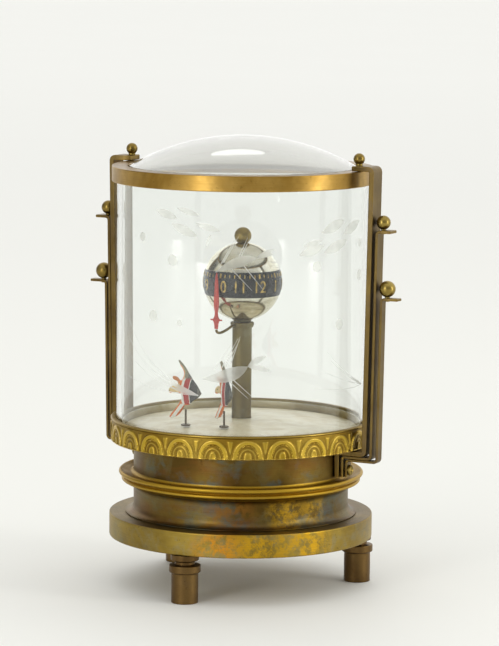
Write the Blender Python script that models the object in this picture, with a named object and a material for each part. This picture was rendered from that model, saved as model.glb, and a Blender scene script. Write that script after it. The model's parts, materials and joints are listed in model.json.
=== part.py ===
"""Fish-tank mantel clock: a glass cylinder on a turned brass case with a clock movement inside.

Frame: metres, +Z up, origin on the ground under the centre of the case. The two straps stand on
the X axis and the front foot on -Y. Every turned piece is a profile spun about its own axis.
"""

import math

import bmesh
import bpy
from mathutils import Matrix, Vector

MM = 0.001
GAP = 0.3 * MM            # clearance kept between neighbouring pieces

# Heights of the case, from the ground up
FOOT_TOP = 24.0 * MM
BASE_TOP = 35.5 * MM
FLANGE_Z = 55.4 * MM
BAND_BOTTOM = 71.2 * MM
BAND_TOP = 82.6 * MM
RING_BOTTOM = 198.9 * MM
RING_TOP = 206.5 * MM
GLASS_TOP = 201.2 * MM
DOME_TOP = 221.6 * MM

# Radii of the case
BASE_R = 65.0 * MM
BASE_BORE = 50.0 * MM
FOOT_CIRCLE = 58.2 * MM
NECK_R = 53.1 * MM
NECK_BORE = 51.3 * MM
FLANGE_R = 60.4 * MM
BAND_R = 64.5 * MM
BAND_BORE = 62.2 * MM
BAND_HOLE = 49.4 * MM       # through the band's floor, over the movement
BAND_FLOOR = 1.8 * MM
GLASS_R = 61.8 * MM
GLASS_BORE = 59.3 * MM
RING_R = 64.3 * MM
RING_LIP = 56.5 * MM

# Tank floor
PAN_R = 58.9 * MM
PAN_WALL = 0.7 * MM
PAN_TOP = 81.8 * MM
PAN_FLOOR = 77.2 * MM
FLOOR_EDGE = 78.2 * MM
FLOOR_CROWN = 82.4 * MM

# Column, globe and pointer
COLUMN_R = 4.8 * MM
COLUMN_BOTTOM = 64.3 * MM
COLUMN_TOP = 129.6 * MM
SHAFT_R = 2.4 * MM
SHAFT_BOTTOM = 57.4 * MM
SHAFT_TOP = 168.9 * MM
GLOBE_R = 19.3 * MM
GLOBE_Z = 149.7 * MM
GLOBE_WALL = 1.2 * MM
NUMERAL_HALF = 6.1 * MM
FINIAL_R = 4.25 * MM
POINTER_AZIMUTH = math.radians(-100)
POINTER_RADIUS = 20.8 * MM

# Straps
STRAP_LOW_X = 67.8 * MM     # inner face beside the gallery band
STRAP_HIGH_X = 70.0 * MM    # inner face beside the top ring
STRAP_REACH = 9.3 * MM      # how far the inner strip reaches in over the ring
STRAP_BEND = 2.0 * MM
FOOT_FACE_X = 53.4 * MM     # inner face against the neck
STRAP_FOOT_Z = 57.4 * MM
SCREW_HOLE = 1.5 * MM
SCREW_SHANK = 1.2 * MM
LID_SCREW_X = 62.4 * MM
LID_SHANK = 0.9 * MM
LID_SCREW_DEPTH = 1.4 * MM  # into the ring, whose lip is 2 mm thick
SCREW_Z = 60.8 * MM

# Each strip: thickness, width, standoff of its inner face from the inner strip's inner face,
# and the drop of its run under the band
STRIPS = {
    "inner": (2.4 * MM, 10.2 * MM, 0.0 * MM, 0.0 * MM),
    "middle": (1.4 * MM, 7.4 * MM, 3.4 * MM, 2.7 * MM),
    "outer": (1.3 * MM, 4.8 * MM, 6.2 * MM, 4.4 * MM),
}
TABS = {"middle": (178.1 * MM, 81.0 * MM), "outer": (145.6 * MM, 84.6 * MM)}   # height, reach
BALL_R = {"middle": 3.45 * MM, "outer": 4.05 * MM}
BALL_STEM_R = 1.0 * MM

# Movement: module and centre distances of the wheels
MODULE = 1.0 * MM
ARBOR_R = 1.2 * MM
ARBOR_HOLE = 1.6 * MM
WINDER_R = 2.2 * MM
KEY_R = 3.4 * MM
LOW_PLATE_R = 43.5 * MM
PILLAR_R = 2.5 * MM
PILLAR_CIRCLE = 40.0 * MM
PLATE_TOP_Z = 62.0 * MM
PLATE_LOW_Z = 30.0 * MM
PLATE_THICK = 2.0 * MM
LEAVES = 6                   # teeth of every pinion
CENTER_TEETH = 24
BARREL_TEETH = 30
MOTION_TEETH = 24
HOUR_TEETH = 18
TRANSFER_TEETH = 18
CARRIER_GEAR = (65.2 * MM, 67.6 * MM)    # bottom and top of the gears that turn the fish


def centre_distance(teeth_a, teeth_b):
    return MODULE * (teeth_a + teeth_b) / 2


def polar(radius, angle, origin=(0.0, 0.0)):
    return (origin[0] + radius * math.cos(angle), origin[1] + radius * math.sin(angle))


def meeting_point(a, reach_a, b, reach_b):
    """The point at reach_a from a and reach_b from b, to the right of the line from a to b."""
    span = math.dist(a, b)
    along = (reach_a ** 2 - reach_b ** 2 + span ** 2) / (2 * span)
    aside = math.sqrt(reach_a ** 2 - along ** 2)
    ux, uy = (b[0] - a[0]) / span, (b[1] - a[1]) / span
    return (a[0] + along * ux + aside * uy, a[1] + along * uy - aside * ux)


COLUMN_AXIS = (0.0, 0.0)
CENTER_AXIS = (0.0, centre_distance(TRANSFER_TEETH, TRANSFER_TEETH))
MOTION_AXIS = meeting_point(COLUMN_AXIS, centre_distance(HOUR_TEETH, LEAVES),
                            CENTER_AXIS, centre_distance(MOTION_TEETH, LEAVES))
BARREL_AXIS = polar(centre_distance(BARREL_TEETH, LEAVES), math.radians(200), CENTER_AXIS)
THIRD_AXIS = polar(centre_distance(CENTER_TEETH, LEAVES), math.radians(20), CENTER_AXIS)
BALANCE_AXIS = (24 * MM, -14 * MM)

# Fish: radius of its path, azimuth round the column and heading, for each fish
FISH = {
    "fish_outer": (35.3 * MM, math.radians(-112.5), math.radians(-4)),
    "fish_inner": (30.9 * MM, math.radians(-78.5), math.radians(-38)),
}
FISH_FOOT_R = 2.3 * MM
FISH_PIN_R = 0.5 * MM
FISH_THICK = 1.5 * MM

MATERIALS = {
    "brass_aged": ((0.30, 0.22, 0.07), 0.38, 1.0),
    "brass_band": ((0.42, 0.30, 0.07), 0.34, 1.0),
    "brass_brushed": ((0.45, 0.30, 0.09), 0.30, 1.0),
    "bronze_feet": ((0.16, 0.10, 0.05), 0.42, 1.0),
    "silvered": ((0.62, 0.58, 0.48), 0.35, 1.0),
    "cream_enamel": ((0.83, 0.78, 0.62), 0.55, 0.0),
    "clear_glass": ((0.95, 0.97, 0.96), 0.03, 0.0),
    "chrome": ((0.75, 0.74, 0.70), 0.10, 1.0),
    "black_enamel": ((0.02, 0.02, 0.025), 0.30, 0.0),
    "red_paint": ((0.62, 0.05, 0.04), 0.40, 0.0),
    "fish_paint": ((0.75, 0.30, 0.12), 0.45, 0.0),
    "dark_steel": ((0.20, 0.19, 0.18), 0.40, 1.0),
    "movement_brass": ((0.60, 0.46, 0.18), 0.32, 1.0),
    "movement_steel": ((0.50, 0.51, 0.53), 0.28, 1.0),
}


# ---------------------------------------------------------------- helpers

def clear_scene():
    for item in list(bpy.data.objects):
        bpy.data.objects.remove(item, do_unlink=True)


def make_materials():
    made = {}
    for name, (colour, roughness, metallic) in MATERIALS.items():
        material = bpy.data.materials.new(name)
        material.use_nodes = True
        shader = material.node_tree.nodes["Principled BSDF"]
        shader.inputs["Base Color"].default_value = (*colour, 1.0)
        shader.inputs["Roughness"].default_value = roughness
        shader.inputs["Metallic"].default_value = metallic
        if name == "clear_glass":
            shader.inputs["Transmission Weight"].default_value = 1.0
        made[name] = material
    return made


def add_object(name, bm, material, location=(0, 0, 0), turn=0.0):
    """Put a closed bmesh into the scene, faces outward, at its own axis."""
    bmesh.ops.remove_doubles(bm, verts=bm.verts, dist=1e-6)
    bmesh.ops.recalc_face_normals(bm, faces=bm.faces)
    mesh = bpy.data.meshes.new(name)
    bm.to_mesh(mesh)
    bm.free()
    mesh.shade_smooth()
    mesh.set_sharp_from_angle(angle=math.radians(32))
    mesh.materials.append(MATERIAL[material])
    item = bpy.data.objects.new(name, mesh)
    item.location = location
    item.rotation_euler = (0, 0, turn)
    bpy.context.scene.collection.objects.link(item)
    return item


def lathe_mesh(profile, steps):
    """Spin a profile of (radius, height) points about Z. A loop that stays off the axis closes."""
    bm = bmesh.new()
    verts = [bm.verts.new((r, 0, z)) for r, z in profile]
    edges = [bm.edges.new(pair) for pair in zip(verts, verts[1:])]
    if profile[0][0] > 0 and profile[-1][0] > 0:
        edges.append(bm.edges.new((verts[-1], verts[0])))
    bmesh.ops.spin(bm, geom=verts + edges, cent=(0, 0, 0), axis=(0, 0, 1),
                   angle=2 * math.pi, steps=steps, use_merge=True)
    return bm


def lathe(name, profile, material, steps=40, at=(0.0, 0.0)):
    return add_object(name, lathe_mesh(profile, steps), material, (*at, 0))


def ring_profile(inner, outer, bottom, top):
    return [(outer, top), (outer, bottom), (inner, bottom), (inner, top)]


def rod_profile(radius, bottom, top):
    return [(0, top), (radius, top), (radius, bottom), (0, bottom)]


def ball_profile(radius, height, stem, stem_bottom, rings=5):
    """A ball with a stem under it, from the pole down to the end of the stem."""
    last = math.pi - math.asin(stem / radius)
    arc = [last * i / rings for i in range(rings + 1)]
    points = [(radius * math.sin(a), height + radius * math.cos(a)) for a in arc]
    points[0] = (0, height + radius)
    return points + [(stem, stem_bottom), (0, stem_bottom)]


def arc(centre, radius, start, end, steps):
    """Points on a circle between two angles given in degrees."""
    angles = [math.radians(start + (end - start) * i / steps) for i in range(steps + 1)]
    return [(centre[0] + radius * math.cos(a), centre[1] + radius * math.sin(a)) for a in angles]


def prism_mesh(outline, bottom, top):
    bm = bmesh.new()
    face = bm.faces.new([bm.verts.new((x, y, bottom)) for x, y in outline])
    raised = bmesh.ops.extrude_face_region(bm, geom=[face])
    lifted = [v for v in raised["geom"] if isinstance(v, bmesh.types.BMVert)]
    bmesh.ops.translate(bm, verts=lifted, vec=(0, 0, top - bottom))
    return bm


def apply_boolean(item, cutter, operation):
    """Join or cut with another object, which is used up."""
    modifier = item.modifiers.new(operation.lower(), "BOOLEAN")
    modifier.operation = operation
    modifier.solver = "EXACT"
    modifier.object = cutter
    graph = bpy.context.evaluated_depsgraph_get()
    result = bpy.data.meshes.new_from_object(item.evaluated_get(graph))
    item.modifiers.clear()
    item.data = result
    bpy.data.objects.remove(cutter, do_unlink=True)


def drill(item, at, radius, bottom, top, steps=12):
    """Cut a vertical hole."""
    cutter = lathe("cutter", rod_profile(radius, bottom, top), "dark_steel", steps, at)
    apply_boolean(item, cutter, "DIFFERENCE")


def drill_along_x(item, height, radius, start, end, steps=10):
    """Cut a hole along X, at Y = 0."""
    cutter = lathe("cutter", rod_profile(radius, start, end), "dark_steel", steps)
    cutter.matrix_world = Matrix.Translation((0, 0, height)) @ Matrix.Rotation(math.pi / 2, 4, "Y")
    apply_boolean(item, cutter, "DIFFERENCE")


def fuse(item, *others):
    for other in others:
        apply_boolean(item, other, "UNION")
    return item


# ---------------------------------------------------------------- case

def foot_profile():
    body, shoulder, neck, collar = 6.7 * MM, 7.85 * MM, 5.0 * MM, 7.0 * MM
    top = FOOT_TOP - GAP
    return [
        (0, top), (collar, top), (collar, 20.8 * MM), (neck, 20.2 * MM), (neck, 18.7 * MM),
        (shoulder, 18.3 * MM), (shoulder, 15.0 * MM), (body, 14.5 * MM), (body, 0.4 * MM),
        (body - 0.4 * MM, 0), (0, 0),
    ]


def make_feet():
    for name, azimuth in (("foot_front", -90), ("foot_right", 30), ("foot_left", 150)):
        lathe(name, foot_profile(), "bronze_feet", 14, polar(FOOT_CIRCLE, math.radians(azimuth)))


def make_base():
    chamfer = 0.6 * MM
    lathe("base_disc", [
        (BASE_BORE, BASE_TOP), (BASE_R - chamfer, BASE_TOP), (BASE_R, BASE_TOP - chamfer),
        (BASE_R, FOOT_TOP + chamfer), (BASE_R - chamfer, FOOT_TOP), (BASE_BORE, FOOT_TOP),
    ], "brass_aged", 48)
    cover_bottom, cover_top = FOOT_TOP + 0.4 * MM, FOOT_TOP + 2 * MM
    cover = lathe("bottom_cover", rod_profile(BASE_BORE - GAP, cover_bottom, cover_top), "brass_aged", 28)
    for axis, hole in ((CENTER_AXIS, ARBOR_R + 0.8 * MM), (BARREL_AXIS, KEY_R + 0.6 * MM)):
        drill(cover, axis, hole, cover_bottom - 1 * MM, cover_top + 1 * MM)


def neck_profile():
    """Outer side from the top down, then the bore from the bottom up."""
    bottom, top = BASE_TOP + GAP, BAND_BOTTOM - GAP
    cove_r, bead_r, small_bead_r, undercut_r, fillet_r = 2 * MM, 1.1 * MM, 0.9 * MM, 4.3 * MM, 4 * MM
    cove = arc((NECK_R + cove_r, FLANGE_Z + 1.9 * MM), cove_r, 180, 270, 3)
    bead = arc((FLANGE_R - bead_r, FLANGE_Z), bead_r, 120, -60, 4)
    small_bead = arc((FLANGE_R - 2.3 * MM, FLANGE_Z - 3.2 * MM), small_bead_r, 50, -60, 2)
    undercut = arc((NECK_R + undercut_r, FLANGE_Z - 8.7 * MM), undercut_r, 100, 180, 4)
    fillet = arc((NECK_R + fillet_r, bottom + 4.2 * MM), fillet_r, 180, 270, 4)
    ledge_r, ledge_top = NECK_BORE - 2.8 * MM, PLATE_TOP_Z - GAP
    ledge_bottom = ledge_top - 2.3 * MM
    ledge = [(NECK_BORE, ledge_bottom), (ledge_r, ledge_bottom),
             (ledge_r, ledge_top), (NECK_BORE, ledge_top)]
    return ([(NECK_R, top)] + cove + bead + [(FLANGE_R - 2.5 * MM, FLANGE_Z - 1.9 * MM)] + small_bead
            + [(FLANGE_R - 3.2 * MM, FLANGE_Z - 4.4 * MM)] + undercut + fillet
            + [(NECK_R + fillet_r, bottom), (NECK_BORE, bottom)] + ledge + [(NECK_BORE, top)])


def make_neck():
    neck = lathe("neck_housing", neck_profile(), "brass_aged", 36)
    for side in (1, -1):
        ends = sorted((side * (NECK_BORE - 3 * MM), side * (NECK_R + 1 * MM)))
        drill_along_x(neck, SCREW_Z, SCREW_HOLE, *ends)


def make_band():
    floor = BAND_BOTTOM + BAND_FLOOR
    lip = 0.5 * MM
    lathe("gallery_band", [
        (BAND_BORE, BAND_TOP), (BAND_R - lip, BAND_TOP), (BAND_R, BAND_TOP - lip),
        (BAND_R, BAND_BOTTOM + lip), (BAND_R - lip, BAND_BOTTOM), (BAND_HOLE, BAND_BOTTOM),
        (BAND_HOLE, floor), (BAND_BORE, floor),
    ], "brass_band", 48)


def make_tank_floor():
    skirt = BAND_BOTTOM + BAND_FLOOR + GAP
    inner = PAN_R - PAN_WALL
    hole = COLUMN_R + GAP
    under = PAN_FLOOR - 0.8 * MM
    lathe("floor_pan", [
        (PAN_R, PAN_TOP), (PAN_R, skirt), (inner, skirt), (inner, under), (hole, under),
        (hole, PAN_FLOOR), (inner, PAN_FLOOR), (inner, PAN_TOP),
    ], "silvered", 36)
    edge = inner - GAP
    rings = 3
    dome = [(edge * i / rings, floor_height(edge * i / rings)) for i in range(rings, 0, -1)]
    dome.append((hole, floor_height(hole)))
    bottom = PAN_FLOOR + GAP
    lathe("floor_disc", dome + [(hole, bottom), (edge, bottom)], "cream_enamel", 32)


def floor_height(radius):
    """Height of the gently domed floor at a radius from the column."""
    return FLOOR_EDGE + (FLOOR_CROWN - FLOOR_EDGE) * (1 - (radius / PAN_R) ** 2)


def make_glass():
    bottom = BAND_BOTTOM + BAND_FLOOR + GAP
    lathe("glass_cylinder", ring_profile(GLASS_BORE, GLASS_R, bottom, GLASS_TOP), "clear_glass", 48)
    lip = RING_TOP - 2.0 * MM
    chamfer = 0.5 * MM
    ring = lathe("top_ring", [
        (RING_LIP, RING_TOP), (RING_R - chamfer, RING_TOP), (RING_R, RING_TOP - chamfer),
        (RING_R, RING_BOTTOM), (BAND_BORE, RING_BOTTOM), (BAND_BORE, lip), (RING_LIP, lip),
    ], "brass_brushed", 48)
    for side in (1, -1):
        hole_bottom = RING_TOP - LID_SCREW_DEPTH - 0.2 * MM
        drill(ring, (side * LID_SCREW_X, 0), LID_SHANK + GAP, hole_bottom, RING_TOP + 1 * MM)
    lathe("glass_lid", lid_profile(), "clear_glass", 32)


def lid_profile():
    """A flat rim under the ring's lip, and a shallow spherical dome through it."""
    rim_bottom, rim_top, rim_r = GLASS_TOP + GAP, RING_TOP - 2.3 * MM, BAND_BORE - GAP
    dome_r, rings, wall = RING_LIP - 0.8 * MM, 5, 2.6 * MM
    rise = DOME_TOP - RING_TOP
    sphere = (dome_r ** 2 + rise ** 2) / (2 * rise)
    centre = DOME_TOP - sphere
    foot = math.asin(dome_r / sphere)
    angles = [foot * i / rings for i in range(rings + 1)]
    outer = [(sphere * math.sin(a), centre + sphere * math.cos(a)) for a in angles]
    hollow = sphere - wall
    inner_angles = [math.acos((rim_bottom - centre) / hollow) * i / rings for i in range(rings + 1)]
    inner = [(hollow * math.sin(a), centre + hollow * math.cos(a)) for a in reversed(inner_angles)]
    return outer + [(dome_r, rim_top), (rim_r, rim_top), (rim_r, rim_bottom)] + inner


# ---------------------------------------------------------------- straps

def strap_face_x(height):
    """The inner strip's inner face, which leans outward towards the top."""
    share = (height - BAND_BOTTOM) / (RING_TOP - BAND_BOTTOM)
    return STRAP_LOW_X + (STRAP_HIGH_X - STRAP_LOW_X) * share


def rounded(points, radius, steps=3):
    """A polyline with its inner corners turned into arcs."""
    path = [Vector(points[0])]
    for before, corner, after in zip(points, points[1:], points[2:]):
        corner = Vector(corner)
        back = (Vector(before) - corner).normalized()
        ahead = (Vector(after) - corner).normalized()
        start, end = corner + back * radius, corner + ahead * radius
        for i in range(steps + 1):
            t = i / steps
            path.append(start.lerp(corner, t).lerp(corner.lerp(end, t), t))
    path.append(Vector(points[-1]))
    return path


def ribbon_outline(path, thickness):
    """Both sides of a centre line, as one closed outline."""
    left, right = [], []
    for i, point in enumerate(path):
        before, after = path[max(i - 1, 0)], path[min(i + 1, len(path) - 1)]
        along = (after - before).normalized()
        aside = Vector((-along.y, along.x)) * thickness / 2
        left.append(tuple(point + aside))
        right.append(tuple(point - aside))
    return left + right[::-1]


def strip_path(kind):
    """Centre line of a strip in the XZ plane, from its top end down to its foot on the neck."""
    thick, _, standoff, drop = STRIPS[kind]
    half = thick / 2
    run_z = BAND_BOTTOM - GAP - drop - half
    low_x = strap_face_x(BAND_BOTTOM) + standoff + half
    foot_x = FOOT_FACE_X + drop + half
    if kind == "inner":
        top_z = RING_TOP + GAP + half
        top = [(STRAP_HIGH_X - STRAP_REACH, top_z), (strap_face_x(top_z) + half, top_z)]
    else:
        top_z, reach = TABS[kind]
        top = [(reach, top_z), (strap_face_x(top_z) + standoff + half, top_z)]
    corners = top + [(low_x, run_z), (foot_x, run_z), (foot_x, STRAP_FOOT_Z)]
    return rounded(corners, STRAP_BEND)


def make_strip(side_name, side, kind):
    thick, width = STRIPS[kind][:2]
    outline = ribbon_outline(strip_path(kind), thick)
    bm = prism_mesh(outline, -width / 2, width / 2)
    upright = Matrix.Rotation(math.pi / 2, 4, "X")
    bmesh.ops.transform(bm, matrix=Matrix.Diagonal((side, 1, 1, 1)) @ upright, verts=bm.verts)
    strip = add_object(f"strap_{side_name}_{kind}", bm, "brass_aged")
    foot_ends = sorted((side * (FOOT_FACE_X - 1 * MM), side * (FOOT_FACE_X + 7 * MM)))
    drill_along_x(strip, SCREW_Z, SCREW_HOLE, *foot_ends)
    if kind == "inner":
        drill(strip, (side * LID_SCREW_X, 0), LID_SHANK + GAP, RING_TOP - 1 * MM, RING_TOP + 4 * MM, 10)
    else:
        tab_z = TABS[kind][0]
        drill(strip, (side * ball_x(kind), 0), BALL_STEM_R + GAP, tab_z - 2 * MM, tab_z + 2 * MM, 10)


def ball_x(kind):
    """A ball stands on the tab of its strip and almost touches the strip behind it."""
    thick, _, standoff, _ = STRIPS["inner" if kind == "middle" else "middle"]
    height = TABS[kind][0] + BALL_R[kind]
    return strap_face_x(height) + standoff + thick + GAP + BALL_R[kind]


def make_straps():
    for side_name, side in (("right", 1), ("left", -1)):
        for kind in STRIPS:
            make_strip(side_name, side, kind)
        for kind, place in (("middle", "upper"), ("outer", "lower")):
            tab_z, radius = TABS[kind][0], BALL_R[kind]
            tab_top = tab_z + STRIPS[kind][0] / 2
            lathe(f"strap_ball_{side_name}_{place}",
                  ball_profile(radius, tab_top + GAP + radius * 0.97, BALL_STEM_R, tab_z - 1.1 * MM),
                  "brass_aged", 10, (side * ball_x(kind), 0))
        screw_top = RING_TOP + GAP + STRIPS["inner"][0]
        lathe(f"lid_screw_{side_name}", lid_screw_profile(screw_top), "brass_aged", 10,
              (side * LID_SCREW_X, 0))
        make_foot_screw(side_name, side)


def lid_screw_profile(tab_top):
    """A ball head on a small collar, with a shank down into the ring."""
    ball, height, collar = 2.8 * MM, tab_top + 3.2 * MM, 1.7 * MM
    head = ball_profile(ball, height, collar, tab_top + GAP)[:-1]
    tip = RING_TOP - LID_SCREW_DEPTH
    return head + [(LID_SHANK, tab_top + GAP), (LID_SHANK, tip), (0, tip)]


def make_foot_screw(side_name, side):
    """A slotted pan head outside the outer strip, with its shank in the neck wall."""
    head_x = FOOT_FACE_X + STRIPS["outer"][3] + STRIPS["outer"][0] + GAP
    head_r, shank_end = 2.6 * MM, NECK_BORE + 0.5 * MM
    bm = lathe_mesh([
        (0, head_x + 1.5 * MM), (0.7 * head_r, head_x + 1.4 * MM), (head_r, head_x + 0.8 * MM),
        (head_r, head_x), (SCREW_SHANK, head_x), (SCREW_SHANK, shank_end), (0, shank_end),
    ], 12)
    bmesh.ops.transform(bm, matrix=Matrix.Rotation(math.pi / 2, 4, "Y"), verts=bm.verts)
    screw = add_object(f"strap_screw_{side_name}", bm, "brass_aged", (0, 0, SCREW_Z))
    slot_half, reach = 0.35 * MM, head_r + 0.4 * MM
    slot_floor, slot_top = head_x + 0.9 * MM, head_x + 2 * MM
    slot_outline = [(slot_floor, -reach), (slot_top, -reach), (slot_top, reach), (slot_floor, reach)]
    slot_mesh = prism_mesh(slot_outline, SCREW_Z - slot_half, SCREW_Z + slot_half)
    apply_boolean(screw, add_object("cutter", slot_mesh, "dark_steel"), "DIFFERENCE")
    if side < 0:
        screw.rotation_euler = (0, 0, math.pi)


# ---------------------------------------------------------------- column, globe and pointer

def make_column():
    lathe("column_tube", ring_profile(SHAFT_R + 0.5 * MM, COLUMN_R, COLUMN_BOTTOM, COLUMN_TOP),
          "brass_aged", 24)
    collar_r = 5.8 * MM
    lathe("column_collar", [
        (COLUMN_R + GAP, COLUMN_TOP), (collar_r, COLUMN_TOP), (collar_r, COLUMN_TOP - 1.2 * MM),
        (collar_r - 0.4 * MM, COLUMN_TOP - 2.4 * MM), (COLUMN_R + GAP, COLUMN_TOP - 2.4 * MM),
    ], "brass_aged", 24)


def globe_half(name, sign):
    """A thin bowl from beside the numeral band to the shaft's hole at its pole."""
    start = math.asin((NUMERAL_HALF + GAP) / GLOBE_R)
    hole = SHAFT_R + GAP
    pole_flat = 1.6 * MM
    end = math.acos((hole + pole_flat) / GLOBE_R)
    rings = 4
    inner_r = GLOBE_R - GLOBE_WALL
    angles = [start + (end - start) * i / rings for i in range(rings + 1)]
    outer = [(GLOBE_R * math.cos(a), GLOBE_Z + sign * GLOBE_R * math.sin(a)) for a in angles]
    inner_end = math.asin((GLOBE_R * math.sin(end) - GLOBE_WALL) / inner_r)
    inner_start = math.asin((NUMERAL_HALF + GAP) / inner_r)
    inner_angles = [inner_end + (inner_start - inner_end) * i / rings for i in range(rings + 1)]
    inner = [(inner_r * math.cos(a), GLOBE_Z + sign * inner_r * math.sin(a)) for a in inner_angles]
    pole = [(hole, outer[-1][1]), (hole, inner[0][1])]
    lathe(name, outer + pole + inner, "chrome", 20)


def make_globe():
    globe_half("globe_upper", 1)
    globe_half("globe_lower", -1)
    angles = [math.asin(NUMERAL_HALF / GLOBE_R) * i for i in range(1, -2, -1)]
    proud = GLOBE_R + 0.1 * MM
    belt = [(proud * math.cos(a), GLOBE_Z + GLOBE_R * math.sin(a)) for a in angles]
    bore = GLOBE_R * math.cos(angles[0]) - 0.9 * MM
    lathe("numeral_band", belt + [(bore, belt[-1][1]), (bore, belt[0][1])], "black_enamel", 28)
    lathe("globe_shaft", rod_profile(SHAFT_R, SHAFT_BOTTOM, SHAFT_TOP), "movement_steel", 14)
    seat = SHAFT_TOP + 0.4 * MM
    ball = ball_profile(FINIAL_R, seat + 2.9 * MM, 3.0 * MM, seat)
    lathe("finial_ball", ball, "brass_aged", 14)


def make_pointer():
    """A bent wire from the collar, out and up to a red spear that stands in front of the globe."""
    path = [(6.1, 128.6), (9.0, 128.0), (13.0, 126.7), (17.0, 125.9), (19.6, 126.2), (20.8, 127.5)]
    curve = bpy.data.curves.new("pointer_arm", "CURVE")
    curve.dimensions = "3D"
    curve.bevel_depth = 0.65 * MM
    curve.bevel_resolution = 1
    curve.use_fill_caps = True
    spline = curve.splines.new("POLY")
    spline.points.add(len(path) - 1)
    for point, (radius, height) in zip(spline.points, path):
        point.co = (radius * MM, 0, height * MM, 1)
    curve.materials.append(MATERIAL["brass_aged"])
    arm = bpy.data.objects.new("pointer_arm", curve)
    arm.rotation_euler = (0, 0, POINTER_AZIMUTH)
    bpy.context.scene.collection.objects.link(arm)

    half = [(0.75, 128.1), (1.35, 131.2), (1.9, 132.1), (3.5, 132.6), (1.8, 133.1), (0.8, 135.2),
            (0.75, 136.2), (1.4, 140.4), (1.0, 147.6)]
    right = [(x * MM, z * MM) for x, z in half]
    left = [(-x, z) for x, z in reversed(right)]
    bm = prism_mesh(right + [(0.0, 155.7 * MM)] + left, -0.4 * MM, 0.4 * MM)
    place = (Matrix.Rotation(POINTER_AZIMUTH, 4, "Z") @ Matrix.Translation((POINTER_RADIUS, 0, 0))
             @ Matrix.Rotation(math.pi / 2, 4, "Z") @ Matrix.Rotation(math.pi / 2, 4, "X"))
    bmesh.ops.transform(bm, matrix=place, verts=bm.verts)
    add_object("pointer", bm, "red_paint")


# ---------------------------------------------------------------- fish

def make_fish():
    """An angelfish in profile: along its heading and above its foot, in millimetres."""
    outline = [
        (8.7, 16.9), (6.6, 20.1), (4.2, 22.9), (1.3, 26.7), (-4.1, 32.5), (-1.5, 28.3),
        (-0.9, 25.6), (-2.6, 22.5), (-7.0, 24.2), (-4.4, 20.6), (-9.4, 17.6), (-9.1, 16.1),
        (-2.8, 16.1), (-3.3, 11.9), (-8.9, 4.2), (-0.9, 10.6), (2.1, 11.1), (6.3, 14.4),
    ]
    for name, (radius, azimuth, heading) in FISH.items():
        x, y = polar(radius, azimuth)
        ground = floor_height(radius)
        bm = prism_mesh([(u * MM, v * MM) for u, v in outline], -FISH_THICK / 2, FISH_THICK / 2)
        bmesh.ops.transform(bm, matrix=Matrix.Rotation(math.pi / 2, 4, "X"), verts=bm.verts)
        add_object(name, bm, "fish_paint", (x, y, ground), heading)
        stand = ground + 2 * GAP
        pin_top = ground + 8.6 * MM
        lathe(f"{name}_pin", [
            (0, pin_top), (FISH_PIN_R, pin_top), (FISH_PIN_R, stand + 0.9 * MM),
            (FISH_FOOT_R, stand + 0.7 * MM), (FISH_FOOT_R, stand), (0, stand),
        ], "dark_steel", 10, (x, y))


# ---------------------------------------------------------------- movement

def gear_outline(teeth, phase=0.0):
    """Trapezoid teeth with room between them, the first tooth at the phase angle."""
    pitch_r = MODULE * teeth / 2
    tip, root = pitch_r + 0.75 * MODULE, pitch_r - 1.05 * MODULE
    step = 2 * math.pi / teeth
    points = []
    for i in range(teeth):
        middle = phase + i * step
        for radius, share in ((root, -0.23), (tip, -0.09), (tip, 0.09), (root, 0.23)):
            points.append(polar(radius, middle + share * step))
    return points


def gear(name, teeth, axis, bottom, top, phase=0.0, bore=None):
    item = add_object(name, prism_mesh(gear_outline(teeth, phase), bottom, top),
                      "movement_brass", (*axis, 0))
    if bore:
        drill(item, axis, bore, bottom - 1 * MM, top + 1 * MM, 12)
    return item


def mesh_phase(axis, partner_axis, partner_teeth, partner_phase, teeth):
    """Turn a wheel so that one of its gaps faces its partner's tooth."""
    toward = math.atan2(axis[1] - partner_axis[1], axis[0] - partner_axis[0])
    partner_step = 2 * math.pi / partner_teeth
    ahead = ((toward - partner_phase) / partner_step) % 1.0
    return toward + math.pi + (0.5 + ahead) * 2 * math.pi / teeth


def make_plates():
    high = (PLATE_TOP_Z, PLATE_TOP_Z + PLATE_THICK)
    low = (PLATE_LOW_Z, PLATE_LOW_Z + PLATE_THICK)
    upper = lathe("movement_plate_upper", rod_profile(NECK_BORE - GAP, *high), "movement_brass", 32)
    lower = lathe("movement_plate_lower", rod_profile(LOW_PLATE_R, *low), "movement_brass", 28)
    for azimuth in (10, 130, 250):
        pillar = lathe("pillar", rod_profile(PILLAR_R, PLATE_LOW_Z + 1 * MM, PLATE_TOP_Z - GAP),
                       "movement_brass", 12, polar(PILLAR_CIRCLE, math.radians(azimuth)))
        fuse(lower, pillar)
    above, below = (high[0] - 2 * MM, high[1] + 2 * MM), (low[0] - 2 * MM, low[1] + 2 * MM)
    drill(upper, COLUMN_AXIS, SHAFT_R + 0.5 * MM, *above)
    for axis in (CENTER_AXIS, MOTION_AXIS, THIRD_AXIS):
        drill(upper, axis, ARBOR_HOLE, *above)
    for axis in (CENTER_AXIS, THIRD_AXIS, BALANCE_AXIS):
        drill(lower, axis, ARBOR_HOLE, *below)
    drill(lower, BARREL_AXIS, WINDER_R + 0.7 * MM, *below)


def arbor(name, axis, bottom, top, pinion_bottom, pinion_top, phase):
    """A steel rod with a six-leaf pinion cut on it."""
    rod = lathe(name, rod_profile(ARBOR_R, bottom, top), "movement_steel", 12, axis)
    return fuse(rod, gear("leaves", LEAVES, axis, pinion_bottom, pinion_top, phase))


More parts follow.
